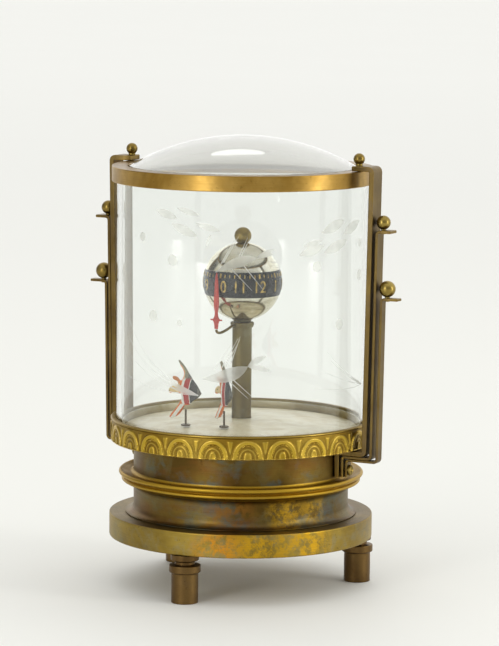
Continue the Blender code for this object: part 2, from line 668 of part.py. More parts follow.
def make_train():
    """Wheels from the mainspring to the third arbor, and from the center arbor to the globe."""
    bore = ARBOR_R + GAP
    center_phase = 0.0
    knob_r, knob_bottom, knob_top, chamfer = 5.0 * MM, 16.9 * MM, 20.3 * MM, 0.5 * MM
    center = arbor("center_arbor", CENTER_AXIS, knob_top + GAP, 68.6 * MM, 35.6 * MM, 38.8 * MM,
                   center_phase)
    fuse(center, gear("leaves", LEAVES, CENTER_AXIS, 53.2 * MM, 56.2 * MM, center_phase))
    gear("center_wheel", CENTER_TEETH, CENTER_AXIS, 50.0 * MM, 52.0 * MM, center_phase, bore)
    gear("transfer_gear", TRANSFER_TEETH, CENTER_AXIS, *CARRIER_GEAR, center_phase, bore)
    lathe("set_knob", [
        (0, knob_top), (knob_r - chamfer, knob_top), (knob_r, knob_top - chamfer),
        (knob_r, knob_bottom + chamfer), (knob_r - chamfer, knob_bottom), (0, knob_bottom),
    ], "brass_aged", 18, CENTER_AXIS)

    motion_phase = mesh_phase(MOTION_AXIS, CENTER_AXIS, LEAVES, center_phase, MOTION_TEETH)
    gear("motion_wheel", MOTION_TEETH, MOTION_AXIS, 53.8 * MM, 55.6 * MM, motion_phase, bore)
    arbor("motion_arbor", MOTION_AXIS, 53.2 * MM, 63.6 * MM, 57.6 * MM, 60.4 * MM, motion_phase)
    hour_phase = mesh_phase(COLUMN_AXIS, MOTION_AXIS, LEAVES, motion_phase, HOUR_TEETH)
    gear("hour_wheel", HOUR_TEETH, COLUMN_AXIS, 58.0 * MM, 60.0 * MM, hour_phase, SHAFT_R + GAP)

    third_phase = mesh_phase(THIRD_AXIS, CENTER_AXIS, CENTER_TEETH, center_phase, LEAVES)
    arbor("third_arbor", THIRD_AXIS, 30.4 * MM, 63.6 * MM, 49.6 * MM, 52.4 * MM, third_phase)
    gear("third_wheel", CENTER_TEETH, THIRD_AXIS, 43.0 * MM, 44.8 * MM, third_phase, bore)
    make_barrel(mesh_phase(BARREL_AXIS, CENTER_AXIS, LEAVES, center_phase, BARREL_TEETH))


def make_barrel(phase):
    """The spring drum with its great wheel, the arbor through it, and the key underneath."""
    wheel_bottom, wheel_top, drum_top, drum_r = 36.0 * MM, 38.2 * MM, 48.6 * MM, 13.2 * MM
    barrel = gear("mainspring_barrel", BARREL_TEETH, BARREL_AXIS, wheel_bottom, wheel_top, phase)
    fuse(barrel, lathe("drum", rod_profile(drum_r, wheel_top - 1 * MM, drum_top),
                       "movement_brass", 24, BARREL_AXIS))
    drill(barrel, BARREL_AXIS, WINDER_R + 0.4 * MM, wheel_bottom - 1 * MM, drum_top + 1 * MM)
    lathe("winding_arbor", rod_profile(WINDER_R, 15.0 * MM, drum_top + 1 * MM), "movement_steel", 16,
          BARREL_AXIS)
    key_bottom, key_top = 16.4 * MM, 23.6 * MM
    key = lathe("winding_key", ring_profile(WINDER_R + GAP, KEY_R, key_bottom, key_top),
                "brass_aged", 16, BARREL_AXIS)
    wing_x, wing_y = 11 * MM, 1.0 * MM
    for side in (1, -1):
        inner, outer = sorted((side * (KEY_R - 0.5 * MM), side * wing_x))
        outline = [(inner, -wing_y), (outer, -wing_y), (outer, wing_y), (inner, wing_y)]
        wing = add_object("wing", prism_mesh(outline, key_bottom + 0.4 * MM, key_top - 1.2 * MM),
                          "brass_aged", (*BARREL_AXIS, 0))
        fuse(key, wing)


def make_balance():
    """A rimmed wheel on its staff, under a cock that stands on the lower plate."""
    rim_bottom, rim_top, rim_bore, rim_r = 38.0 * MM, 39.6 * MM, 7.2 * MM, 8.6 * MM
    wheel = lathe("balance_wheel", ring_profile(rim_bore, rim_r, rim_bottom, rim_top),
                  "movement_brass", 20, BALANCE_AXIS)
    spoke_x, spoke_y, inset = 7.9 * MM, 0.7 * MM, 0.2 * MM
    spoke_outline = [(-spoke_x, -spoke_y), (spoke_x, -spoke_y), (spoke_x, spoke_y), (-spoke_x, spoke_y)]
    spoke = add_object("spoke", prism_mesh(spoke_outline, rim_bottom + inset, rim_top - inset),
                       "movement_brass", (*BALANCE_AXIS, 0))
    staff_r, staff_bottom, staff_top = 0.8 * MM, 30.6 * MM, 43.4 * MM
    staff = lathe("staff", rod_profile(staff_r, staff_bottom, staff_top),
                  "movement_steel", 10, BALANCE_AXIS)
    fuse(wheel, spoke, staff)

    cock_bottom, cock_top, half, reach = staff_top + GAP, 46.0 * MM, 2.6 * MM, 15.0 * MM
    cock_outline = [(-reach, -half), (half, -half), (half, half), (-reach, half)]
    cock = add_object("balance_cock", prism_mesh(cock_outline, cock_bottom, cock_top),
                      "movement_brass", (*BALANCE_AXIS, 0))
    post_end = -reach + 4.4 * MM
    post_outline = [(-reach, -half), (post_end, -half), (post_end, half), (-reach, half)]
    post_mesh = prism_mesh(post_outline, PLATE_LOW_Z + PLATE_THICK + GAP, cock_bottom + 1 * MM)
    fuse(cock, add_object("post", post_mesh, "movement_brass", (*BALANCE_AXIS, 0)))


def make_carrier():
    """Under the floor: a geared hub round the column, with an arm and a magnet for each fish."""
    gear_phase = mesh_phase(COLUMN_AXIS, CENTER_AXIS, TRANSFER_TEETH, 0.0, TRANSFER_TEETH)
    carrier = gear("magnet_carrier", TRANSFER_TEETH, COLUMN_AXIS, *CARRIER_GEAR, gear_phase)
    arm_bottom, arm_top, half = 70.6 * MM, 72.6 * MM, 2.6 * MM
    hub_r, magnet_r = 7.2 * MM, 2.6 * MM
    hub = lathe("hub", rod_profile(hub_r, CARRIER_GEAR[1] - 1.1 * MM, arm_top), "movement_brass", 20)
    fuse(carrier, hub)
    for number, (radius, azimuth, _) in enumerate(FISH.values(), start=1):
        reach = radius + 3 * MM
        arm = add_object("arm", prism_mesh([(5.4 * MM, -half), (reach, -half), (reach, half),
                                            (5.4 * MM, half)], arm_bottom, arm_top - 0.2 * MM),
                         "movement_brass", turn=azimuth)
        fuse(carrier, arm)
        lathe(f"carrier_magnet_{number}", rod_profile(magnet_r, arm_top + 0.1 * MM, 75.9 * MM),
              "dark_steel", 12, polar(radius, azimuth))
    drill(carrier, COLUMN_AXIS, COLUMN_R + 0.4 * MM, CARRIER_GEAR[0] - 1 * MM, arm_top + 1 * MM, 20)


clear_scene()
MATERIAL = make_materials()
make_feet()
make_base()
make_neck()
make_band()
make_tank_floor()
make_glass()
make_straps()
make_column()
make_globe()
make_pointer()
make_fish()
make_plates()
make_train()
make_balance()
make_carrier()
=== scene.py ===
"""Looks of a fish-tank mantel clock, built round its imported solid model.

Lengths are metres in the frame of the solid model: +Z up, origin on the ground under the case,
the two straps on the X axis. Most pieces are turned profiles measured from the CAD node that
they replace, so a piece always has its node's radius and heights.
"""

import json
import math

import bmesh
import bpy
from mathutils import Matrix, Vector

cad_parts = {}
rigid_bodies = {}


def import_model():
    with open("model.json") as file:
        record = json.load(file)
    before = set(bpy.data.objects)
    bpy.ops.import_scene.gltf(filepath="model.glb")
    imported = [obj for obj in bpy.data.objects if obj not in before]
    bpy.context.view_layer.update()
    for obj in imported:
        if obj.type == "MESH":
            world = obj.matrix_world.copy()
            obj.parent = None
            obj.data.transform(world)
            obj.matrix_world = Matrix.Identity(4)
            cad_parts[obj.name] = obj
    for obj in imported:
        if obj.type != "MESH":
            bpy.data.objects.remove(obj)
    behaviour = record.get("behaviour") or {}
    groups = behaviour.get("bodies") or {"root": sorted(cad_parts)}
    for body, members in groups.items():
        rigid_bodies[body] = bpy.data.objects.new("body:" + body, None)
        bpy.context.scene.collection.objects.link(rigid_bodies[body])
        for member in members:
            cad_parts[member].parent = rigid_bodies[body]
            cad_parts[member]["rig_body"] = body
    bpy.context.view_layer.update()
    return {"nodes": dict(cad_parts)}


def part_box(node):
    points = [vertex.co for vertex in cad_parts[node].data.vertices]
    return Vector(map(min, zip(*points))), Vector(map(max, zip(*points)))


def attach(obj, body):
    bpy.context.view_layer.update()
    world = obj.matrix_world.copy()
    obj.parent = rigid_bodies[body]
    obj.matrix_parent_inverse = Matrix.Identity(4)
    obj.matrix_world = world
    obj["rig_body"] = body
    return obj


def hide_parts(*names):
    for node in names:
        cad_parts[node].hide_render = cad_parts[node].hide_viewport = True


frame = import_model()
NODES = frame["nodes"]
MM = 0.001
TAU = 2 * math.pi

FRONT = math.radians(-63)         # azimuth of the clock's front, which the camera faces
ARCHES = 24                       # arches round the gallery band
HOUR_TWELVE = math.radians(-37)   # azimuth of the numeral 12 at rest
POINTER_AZIMUTH = math.radians(-100)

GAP = 0.3 * MM                    # clearance that the CAD leaves between pieces
WELD = 1e-6                       # points closer than this are one
SOFT_TURN = math.radians(32)      # a profile's corner that turns less is left as it is


# ---------------------------------------------------------------- frame measurements

class Span:
    """The outer radius and heights of a turned CAD node about the clock's own axis."""

    def __init__(self, node):
        self.low, self.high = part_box(node)
        self.radius = max(self.high.x, self.high.y)
        self.bottom, self.top = self.low.z, self.high.z
        self.tall = self.top - self.bottom


class Spot(Span):
    """The axis, radius and heights of a CAD node that stands away from the clock's axis."""

    def __init__(self, node):
        super().__init__(node)
        self.x, self.y = (self.low.x + self.high.x) / 2, (self.low.y + self.high.y) / 2
        self.radius = (self.high.x - self.low.x) / 2
        self.place = Matrix.Translation((self.x, self.y, 0))


BASE, NECK, BAND, GLASS, RING, LID, PAN, FLOOR, COLUMN, COLLAR, BELT, SHAFT = map(Span, (
    "base_disc", "neck_housing", "gallery_band", "glass_cylinder", "top_ring", "glass_lid",
    "floor_pan", "floor_disc", "column_tube", "column_collar", "numeral_band", "globe_shaft"))
BASE_MIDDLE = (BASE.bottom + BASE.top) / 2
GLASS_WALL = 2.5 * MM
GLASS_BORE = GLASS.radius + 0.4 * MM     # what holds the tank's foot and rim
LID_WALL = 2.6 * MM
GLOBE_Z = (BELT.bottom + BELT.top) / 2
BELT_PROUD = 0.1 * MM
GLOBE_R = BELT.radius - BELT_PROUD


# ---------------------------------------------------------------- mesh helpers

def polar(radius, angle):
    """X and Y at a radius and an azimuth."""
    return (radius * math.cos(angle), radius * math.sin(angle))


def arc(centre, radius, start, end, steps):
    """Points on a circle between two angles given in degrees."""
    angles = [math.radians(start + (end - start) * i / steps) for i in range(steps + 1)]
    return [(centre[0] + radius * math.cos(a), centre[1] + radius * math.sin(a)) for a in angles]


def towards(start, corner, end, t):
    """The place at t on a curve from start to end that bends towards the corner between them."""
    return start.lerp(corner, t).lerp(corner.lerp(end, t), t)


def soften(points, radius, steps=4, closed=True):
    """A profile with every sharp corner rounded, and a support point on each side of the round."""
    share_of_side, support = 0.35, 1.2
    out = []
    for i, corner in enumerate(map(Vector, points)):
        if not closed and i in (0, len(points) - 1):
            out.append(corner)
            continue
        back = Vector(points[i - 1]) - corner
        ahead = Vector(points[(i + 1) % len(points)]) - corner
        turn = math.pi - back.angle(ahead, math.pi)
        reach = min(radius, share_of_side * back.length, share_of_side * ahead.length)
        if turn < SOFT_TURN or reach < WELD:
            out.append(corner)
            continue
        back, ahead = back.normalized() * reach, ahead.normalized() * reach
        out.append(corner + back * support)
        out += [towards(corner + back, corner, corner + ahead, j / steps) for j in range(steps + 1)]
        out.append(corner + ahead * support)
    return out


def skin(rows, looped=False):
    """Faces between neighbouring rows of points, where a row of one point is a pole.

    The last row is joined to the first if looped, and otherwise the end rows are capped."""
    bm = bmesh.new()
    rings = [[bm.verts.new(point) for point in row] for row in rows]
    count = max(map(len, rings))
    following = rings[1:] + rings[:1] if looped else rings[1:]
    for one, other in zip(rings, following):
        for k in range(count):
            corners = [one[k % len(one)], one[(k + 1) % len(one)],
                       other[(k + 1) % len(other)], other[k % len(other)]]
            bm.faces.new(list(dict.fromkeys(corners)))
    if not looped and len(rings[0]) > 1:
        bm.faces.new(rings[0])
        bm.faces.new(rings[-1][::-1])
    return bm


def circle(radius, height, steps):
    """A ring of points round the axis, or one point where there is no radius."""
    return [(*polar(radius, TAU * i / steps), height) for i in range(steps if radius > WELD else 1)]


def lathe(profile, steps):
    """Spin a profile of (radius, height) points. One that starts off the axis is a closed loop."""
    rows = [circle(radius, height, steps) for radius, height in profile]
    return skin(rows, looped=len(rows[0]) > 1)


def turned(profile, edge, steps, solid=False):
    """A turned piece with its edges broken. A solid one starts and ends on the axis."""
    return lathe(soften(profile, edge, closed=not solid), steps)


def sleeve(bore, span):
    """The profile of a plain tube round the axis."""
    return [(bore, span.top), (span.radius, span.top), (span.radius, span.bottom), (bore, span.bottom)]


def placed(bm, matrix):
    """The same mesh, moved and turned."""
    bmesh.ops.transform(bm, matrix=matrix, verts=bm.verts)
    return bm


def sweep(path, section):
    """Rows of a section of (out, across) points, carried square along a path in the XZ plane."""
    rows = []
    for before, point, after in zip(path[:1] + path, path, path[1:] + path[-1:]):
        along = (after - before).normalized()
        aside = Vector((-along.y, along.x))
        rows.append([(point.x + aside.x * out, across, point.y + aside.y * out) for out, across in section])
    return rows


def smooth_line(points, per_span):
    """A Catmull-Rom curve through the points."""
    points = [Vector(p) for p in points]
    line = []
    for p0, p1, p2, p3 in zip(points[:1] + points, points, points[1:], points[2:] + points[-1:]):
        for k in range(per_span):
            t = k / per_span
            line.append(0.5 * (2 * p1 + (p2 - p0) * t + (2 * p0 - 5 * p1 + 4 * p2 - p3) * t * t
                               + (3 * p1 - p0 - 3 * p2 + p3) * t ** 3))
    return line + points[-1:]


def new_object(name, data):
    """An object in the scene that holds a mesh, curve, light or camera."""
    made = bpy.data.objects.new(name, data)
    bpy.context.scene.collection.objects.link(made)
    return made


def as_mesh(name, bm):
    mesh = bpy.data.meshes.new(name)
    bm.to_mesh(mesh)
    bm.free()
    return mesh


def filled(curve):
    """The surface of a filled curve or text, with its points joined."""
    holder = new_object(curve.name, curve)
    bpy.context.view_layer.update()
    mesh = bpy.data.meshes.new_from_object(holder.evaluated_get(bpy.context.evaluated_depsgraph_get()))
    bpy.data.objects.remove(holder, do_unlink=True)
    bm = bmesh.new()
    bm.from_mesh(mesh)
    bpy.data.meshes.remove(mesh)
    bmesh.ops.remove_doubles(bm, verts=bm.verts, dist=WELD)
    return bm


def plate(outline, thickness, edge, sharp):
    """A flat plate in the XZ plane with rounded edges, from an outline of (x, z) points in millimetres.

    The outline runs smoothly through its points apart from those numbered in sharp."""
    curve = bpy.data.curves.new("outline", "CURVE")
    curve.dimensions = "2D"
    curve.fill_mode = "BOTH"
    curve.bevel_depth = edge
    curve.bevel_resolution = 2
    curve.extrude = thickness / 2 - edge
    curve.offset = -edge
    curve.resolution_u = 6
    spline = curve.splines.new("BEZIER")
    spline.use_cyclic_u = True
    spline.bezier_points.add(len(outline) - 1)
    for i, (point, (x, z)) in enumerate(zip(spline.bezier_points, outline)):
        point.co = (x * MM, z * MM, 0)
        point.handle_left_type = point.handle_right_type = "VECTOR" if i in sharp else "AUTO"
    return placed(filled(curve), Matrix.Rotation(math.pi / 2, 4, "X"))


def merged(parts):
    """Several meshes as one, each still a body of its own."""
    whole = bmesh.new()
    for part in parts:
        mesh = as_mesh("part", part)
        whole.from_mesh(mesh)
        bpy.data.meshes.remove(mesh)
    return whole


def add_piece(name, bm, material, node=None, body="case", sharp_angle=38, place=None):
    """Turn a mesh into a piece of the model, in place of a CAD node or as an addition to a body."""
    bmesh.ops.recalc_face_normals(bm, faces=bm.faces)
    mesh = as_mesh(name, bm)
    mesh.shade_smooth()
    mesh.set_sharp_from_angle(angle=math.radians(sharp_angle))
    mesh.materials.append(material)
    piece = new_object(name, mesh)
    if place is not None:
        piece.matrix_world = place
    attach(piece, NODES[node]["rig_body"] if node else body)
    if node:
        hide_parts(node)


# ---------------------------------------------------------------- material helpers

def rgb(red, green, blue):
    """A display colour of 0 to 255 as a linear colour."""
    def linear(value):
        value /= 255
        return value / 12.92 if value <= 0.04045 else ((value + 0.055) / 1.055) ** 2.4
    return (linear(red), linear(green), linear(blue), 1.0)


def grey(value):
    return (value, value, value, 1.0)


class Nodes:
    """Short ways to add nodes to a tree. Apart from node() itself, they give the node's output."""

    def __init__(self, tree):
        self.tree = tree

    def feed(self, node, index, value):
        """Set an input to a constant, or link it to an output."""
        if isinstance(value, bpy.types.NodeSocket):
            self.tree.links.new(value, node.inputs[index])
        else:
            node.inputs[index].default_value = value

    def node(self, kind, inputs=(), **settings):
        made = self.tree.nodes.new(f"ShaderNode{kind}")
        for key, value in settings.items():
            setattr(made, key, value)
        for index, value in dict(inputs).items():
            self.feed(made, index, value)
        return made

    def maths(self, operation, first, second=0.0, clamp=False):
        return self.node("Math", {0: first, 1: second}, operation=operation, use_clamp=clamp).outputs[0]

    def times(self, first, second):
        return self.maths("MULTIPLY", first, second)

    def plus(self, first, second):
        return self.maths("ADD", first, second)

    def axes(self, vector=None):
        """The X, Y and Z of a vector, or else of the place on the piece."""
        return self.node("SeparateXYZ", {0: vector or self.place}).outputs

    def between(self, value, low, high):
        """0 at low and 1 at high, clamped."""
        return self.node("MapRange", {"Value": value, "From Min": low, "From Max": high}).outputs["Result"]

    def mix(self, share, first, second):
        return self.node("Mix", {0: share, 6: first, 7: second}, data_type="RGBA").outputs[2]

    def ramp(self, value, stops, interpolation="LINEAR"):
        made = self.node("ValToRGB", {"Fac": value})
        made.color_ramp.interpolation = interpolation
        elements = made.color_ramp.elements
        while len(elements) < len(stops):
            elements.new(0.5)
        for element, (position, colour) in zip(elements, stops):
            element.position = position
            element.color = colour
        return made.outputs["Color"]


class Paint(Nodes):
    """A node material while it is being put together, with the colour that it has so far."""

    def __init__(self, name, roughness, metallic=0.0):
        self.material = bpy.data.materials.new(name)
        self.material.use_nodes = True
        super().__init__(self.material.node_tree)
        self.shader = self.tree.nodes["Principled BSDF"]
        self.set("Roughness", roughness)
        self.set("Metallic", metallic)
        self.place = self.node("TexCoord").outputs["Object"]

    def set(self, socket, value):
        self.feed(self.shader, socket, value)

    def noise(self, scale, detail=3.0, roughness=0.55, distortion=0.0, where=None):
        return self.node("TexNoise", {
            "Vector": where or self.place, "Scale": scale, "Detail": detail, "Roughness": roughness,
            "Distortion": distortion}).outputs["Fac"]

    def spots(self, low, high, *noise):
        """Patches of noise: 0 where it is under low and 1 where it is over high."""
        return self.between(self.noise(*noise), low, high)

    def over(self, mask, strength, tone):
        """Lay a tone over the colour so far where the mask says."""
        self.colour = self.mix(self.times(mask, strength), self.colour, tone)

    def uneven(self, low, high, noise, end=0.75):
        """Roughness that wanders between two values."""
        self.set("Roughness", self.ramp(noise, [(0.3, grey(low)), (end, grey(high))]))

    def radius(self):
        x, y, _ = self.axes()
        return self.maths("SQRT", self.plus(self.times(x, x), self.times(y, y)))

    def around(self, along, across):
        """Coordinates that run round the clock's axis, for marks left by turning and brushing."""
        x, y, z = self.axes()
        turn = self.times(self.maths("ARCTAN2", y, x), along)
        return self.node("CombineXYZ", {0: turn, 1: self.times(self.radius(), across),
                                        2: self.times(z, across)}).outputs[0]

    def stretched(self, x, y, z):
        """The place scaled by a factor on each axis."""
        return self.node("Mapping", {"Vector": self.place, "Scale": (x, y, z)}).outputs[0]

    def near(self, point, reach, soft):
        """1 within reach of a point, falling to 0 over the soft distance."""
        made = self.node("VectorMath", {0: self.place, 1: point}, operation="DISTANCE")
        return self.between(made.outputs["Value"], reach + soft, reach)

    def facing_up(self):
        """1 on faces that look up, for painted shade."""
        return self.between(self.axes(self.node("NewGeometry").outputs["Normal"])["Z"], 0.5, 0.9)

    def edges(self, low=0.52, high=0.6):
        """1 on outer corners."""
        return self.between(self.node("NewGeometry").outputs["Pointiness"], low, high)

    def bump(self, height, strength, distance):
        made = self.node("Bump", {"Strength": strength, "Distance": distance, "Height": height})
        self.set("Normal", made.outputs["Normal"])

    def done(self):
        self.set("Base Color", self.colour)
        return self.material


# ---------------------------------------------------------------- brass materials

def brass(name, light, dark, patina, roughness, tarnish, grain="turned", worn=(), verdigris=0.0,
          edge_wear_and_highlight=0.6, bright=rgb(196, 158, 62), highlight_heights=(), shaded_top=0.0):
    """Old lacquered brass: two tones, clouds of patina, bright worn places, edges lighter from wear and a
    painted highlight, and a fine grain.

    worn lists places by point, reach, soft edge and tone. A range of heights may be given for a painted
    highlight, and a share for painted shade on faces that look up."""
    paint = Paint(name, roughness, 1.0)
    paint.colour = paint.mix(paint.spots(0.35, 0.68, 34, 4, 0.6, 0.3), dark, light)
    cloud = paint.noise(70, 6, 0.68, 0.5)
    paint.over(paint.between(cloud, 0.5, 0.66), tarnish, patina)
    if verdigris:
        green = paint.spots(0.53, 0.66, 1.0, 5, 0.62, 0.2, paint.around(2.6, 62))
        paint.over(green, verdigris, rgb(84, 96, 92))
        rust = paint.spots(0.5, 0.66, 1.0, 4, 0.6, 0.3, paint.around(1.9, 70))
        paint.over(rust, 0.6 * verdigris, rgb(112, 72, 34))
    paint.over(paint.spots(0.62, 0.75, 620, 3, 0.6), 0.5, rgb(58, 44, 22))
    for point, reach, soft, tone in worn:
        grainy = paint.spots(0.44, 0.56, 230, 8, 0.75, 0.3)
        paint.over(paint.times(paint.near(point, reach, soft), grainy), 0.85, tone)
    # Outer corners lighter: rubbed bright by wear, and a painted highlight.
    paint.over(paint.edges(), edge_wear_and_highlight, bright)
    # A band of heights painted brighter: a painted highlight on the neck's bead and flange.
    if highlight_heights:
        low, high = highlight_heights
        height = paint.axes()["Z"]
        fade = 0.4 * MM
        highlit_band = paint.times(paint.between(height, low, low + fade), paint.between(height, high, high - fade))
        paint.over(highlit_band, 0.8, bright)
    if grain == "turned":
        lines = paint.noise(1.0, 3, 0.6, 0.0, paint.around(4, 2600))
    elif grain == "drawn":
        lines = paint.noise(1.0, 3, 0.6, 0.0, paint.stretched(1700, 1700, 60))
    else:
        lines = paint.noise(700, 4, 0.6)
    paint.over(paint.between(lines, 0.45, 0.75), 0.35, dark)
    # Faces that look up are painted darker: painted shade.
    if shaded_top:
        paint.over(paint.facing_up(), shaded_top, rgb(70, 52, 26))
    rough = paint.plus(paint.times(cloud, 0.22), roughness - 0.11)
    paint.set("Roughness", paint.maths("ADD", rough, paint.times(lines, 0.12), clamp=True))
    paint.bump(paint.plus(paint.times(lines, 0.5), paint.noise(240, 5, 0.65)), 0.22, 0.12 * MM)
    return paint.done()


def worn_place(span, side, height, reach, soft, tone):
    """A rubbed place on the outside of a turned piece, at some degrees to the right of the front."""
    return ((*polar(span.radius, FRONT + math.radians(side)), height), reach * MM, soft * MM, tone)


YELLOW, ORANGE = rgb(204, 158, 34), rgb(206, 140, 38)
BASE_BRASS = brass("base_brass", rgb(166, 142, 66), rgb(122, 100, 42), rgb(138, 130, 96), 0.38, 0.8,
                   verdigris=0.25, shaded_top=0.5, worn=[
                       worn_place(BASE, -9, BASE_MIDDLE - 2 * MM, 5, 11, ORANGE),
                       worn_place(BASE, 8, BASE_MIDDLE, 5, 12, YELLOW),
                       worn_place(BASE, 28, BASE_MIDDLE, 6, 13, YELLOW),
                       worn_place(BASE, 150, BASE_MIDDLE, 10, 12, YELLOW)])
NECK_BRASS = brass("neck_brass", rgb(126, 104, 48), rgb(86, 66, 28), rgb(104, 100, 72), 0.36, 0.7,
                   verdigris=0.85, bright=rgb(186, 150, 46),
                   # The heights of the bead and flange get a painted highlight.
                   highlight_heights=(NECK.bottom + 13.6 * MM, NECK.bottom + 21.2 * MM), worn=[
                       worn_place(NECK, 24, NECK.bottom + 8 * MM, 5, 9, YELLOW),
                       worn_place(NECK, 42, NECK.bottom + 9 * MM, 4, 8, YELLOW),
                       worn_place(NECK, -5, NECK.bottom + 9 * MM, 7, 10, rgb(132, 88, 36)),
                       worn_place(NECK, -140, NECK.bottom + 8 * MM, 9, 8, YELLOW)])
STRAP_BRASS = brass("strap_brass", rgb(128, 108, 62), rgb(92, 74, 42), rgb(108, 92, 72), 0.34, 0.6,
                    grain="drawn", edge_wear_and_highlight=0.35)
BALL_BRASS = brass("ball_brass", rgb(158, 138, 74), rgb(120, 98, 46), rgb(128, 122, 84), 0.26, 0.4,
                   grain="fine", edge_wear_and_highlight=0.0)
COLUMN_BRASS = brass("column_brass", rgb(128, 116, 72), rgb(96, 80, 42), rgb(138, 132, 102), 0.42, 0.9,
                     grain="drawn", edge_wear_and_highlight=0.4)
RING_BRASS = brass("ring_brass", rgb(190, 154, 82), rgb(132, 100, 40), rgb(142, 118, 66), 0.27, 0.3,
                   edge_wear_and_highlight=0.7, bright=rgb(220, 190, 124), shaded_top=0.55)
FOOT_BRONZE = brass("foot_bronze", rgb(128, 102, 60), rgb(88, 66, 38), rgb(104, 84, 56), 0.36, 0.5,
                    edge_wear_and_highlight=0.3)


def band_brass():
    """Cast gilt brass, brighter on the raised arches and brown in the recesses."""
    paint = Paint("band_brass", 0.34, 1.0)
    raised = paint.between(paint.radius(), BAND.radius - 0.75 * MM, BAND.radius - 0.12 * MM)
    broad = paint.noise(40, 4, 0.6)
    top_tone = paint.mix(paint.between(broad, 0.35, 0.7), rgb(176, 146, 44), rgb(196, 164, 66))
    low_tone = paint.mix(paint.between(broad, 0.4, 0.65), rgb(112, 84, 28), rgb(138, 114, 48))
    paint.colour = paint.mix(raised, low_tone, top_tone)
    paint.over(paint.spots(0.6, 0.75, 800, 3, 0.6), 0.5, rgb(84, 60, 22))
    # Outer corners lighter: rubbed gilt, and a painted highlight.
    paint.over(paint.edges(0.51, 0.56), 0.5, rgb(226, 196, 110))
    # Painted shade that dulls the band's top rim.
    crown = paint.between(paint.axes()["Z"], BAND.top - 0.7 * MM, BAND.top - 0.3 * MM)
    paint.over(crown, 0.7, rgb(104, 82, 30))
    paint.set("Roughness", paint.ramp(raised, [(0.0, grey(0.52)), (1.0, grey(0.30))]))
    stipple = paint.times(paint.noise(1500, 3, 0.6), paint.between(raised, 0.6, 0.2))
    paint.bump(paint.plus(stipple, paint.times(paint.noise(500, 3), 0.3)), 0.35, 0.2 * MM)
    return paint.done()


# ---------------------------------------------------------------- other materials

def clear_glass(name, wave, haze=0.0, tint=(0.97, 0.985, 0.975, 1.0)):
    """Old blown glass, a little uneven and hazy. Lamps reach what is behind it."""
    paint = Paint(name, 0.0)
    paint.set("Transmission Weight", 1.0 - haze)
    paint.set("IOR", 1.48)
    paint.bump(paint.noise(22, 2, 0.5), wave, 0.6 * MM)
    clear = paint.node("BsdfTransparent", {"Color": (0.93, 0.95, 0.94, 1.0)})
    share = paint.node("MixShader", {0: paint.node("LightPath").outputs["Is Shadow Ray"],
                                     1: paint.shader.outputs["BSDF"], 2: clear.outputs["BSDF"]})
    paint.feed(paint.tree.nodes["Material Output"], "Surface", share.outputs["Shader"])
    paint.colour = tint
    return paint.done()


def ground_glass(name, opacity, dark, light):
    """The frosted floor of a wheel cut, which spreads the light from behind it."""
    paint = Paint(name, 0.6)
    paint.set("Transmission Weight", 0.8)
    paint.set("IOR", 1.06)
    paint.colour = paint.mix(paint.spots(0.35, 0.65, 140, 3), dark, light)
    thin = paint.spots(0.1, 0.6, 110, 3, 0.5)
    paint.set("Alpha", paint.times(paint.plus(paint.times(thin, 0.3), 0.7), opacity))
    paint.bump(paint.noise(900, 2), 0.05, 0.02 * MM)
    return paint.done()


def chrome():
    """Nickel plate gone slightly warm, with faint streaks that are wiped marks and painted dark reflections,
    and pits.
    """
    paint = Paint("chrome", 0.09, 1.0)
    paint.colour = paint.mix(paint.spots(0.35, 0.7, 60, 5, 0.65), rgb(232, 230, 218), rgb(206, 196, 164))
    # Dark streaks across the globe: wiped marks, and painted dark reflections.
    wipes_and_dark_reflections = paint.spots(0.5, 0.72, 1.0, 4, 0.6, 0.4, paint.stretched(60, 60, 420))
    paint.over(wipes_and_dark_reflections, 0.45, rgb(112, 102, 74))
    paint.over(paint.spots(0.66, 0.72, 520, 3, 0.6), 0.6, rgb(96, 86, 60))
    paint.uneven(0.05, 0.2, paint.noise(120, 5, 0.7))
    paint.bump(paint.noise(90, 3), 0.10, 0.2 * MM)
    return paint.done()


def black_enamel():
    """The ground of the hour band, chipped and dulled in places."""
    paint = Paint("black_enamel", 0.24)
    paint.colour = paint.mix(paint.noise(120, 4), rgb(16, 18, 22), rgb(38, 40, 46))
    paint.over(paint.spots(0.63, 0.7, 420, 5, 0.7), 0.7, rgb(104, 104, 98))
    paint.uneven(0.16, 0.42, paint.noise(200, 4))
    paint.bump(paint.noise(300, 4), 0.12, 0.08 * MM)
    return paint.done()


def gilt():
    """Gold leaf of the numerals."""
    paint = Paint("gilt", 0.38, 0.55)
    paint.colour = paint.mix(paint.spots(0.45, 0.62, 900, 4, 0.6), rgb(206, 176, 96), rgb(112, 98, 62))
    paint.bump(paint.noise(1500, 3), 0.2, 0.05 * MM)
    return paint.done()


def red_lacquer():
    """The pointer's paint, chipped and darker along its edges."""
    paint = Paint("red_lacquer", 0.36)
    paint.colour = paint.mix(paint.spots(0.35, 0.7, 260, 4), rgb(176, 34, 26), rgb(208, 74, 60))
    paint.over(paint.spots(0.62, 0.68, 900, 4, 0.65), 0.8, rgb(92, 32, 24))
    paint.over(paint.edges(0.53, 0.62), 0.5, rgb(128, 36, 28))
    paint.uneven(0.28, 0.5, paint.noise(500, 3), end=0.7)
    paint.bump(paint.noise(900, 3), 0.2, 0.06 * MM)
    return paint.done()


def silvered():
    """The tinned side of the tray, darker and browner towards its foot by the sea bed: painted shade."""
    paint = Paint("silvered_tray", 0.42, 0.8)
    paint.colour = paint.mix(paint.spots(0.4, 0.68, 55, 6, 0.7, 0.6), rgb(206, 200, 178), rgb(152, 140, 104))
    # Painted shade where the tray's side meets the sea bed.
    paint.over(paint.between(paint.axes()["Z"], PAN.top, FLOOR.bottom + 2 * MM), 0.5, rgb(150, 128, 70))
    paint.bump(paint.noise(1.0, 3, 0.6, 0.0, paint.around(6, 900)), 0.2, 0.1 * MM)
    return paint.done()


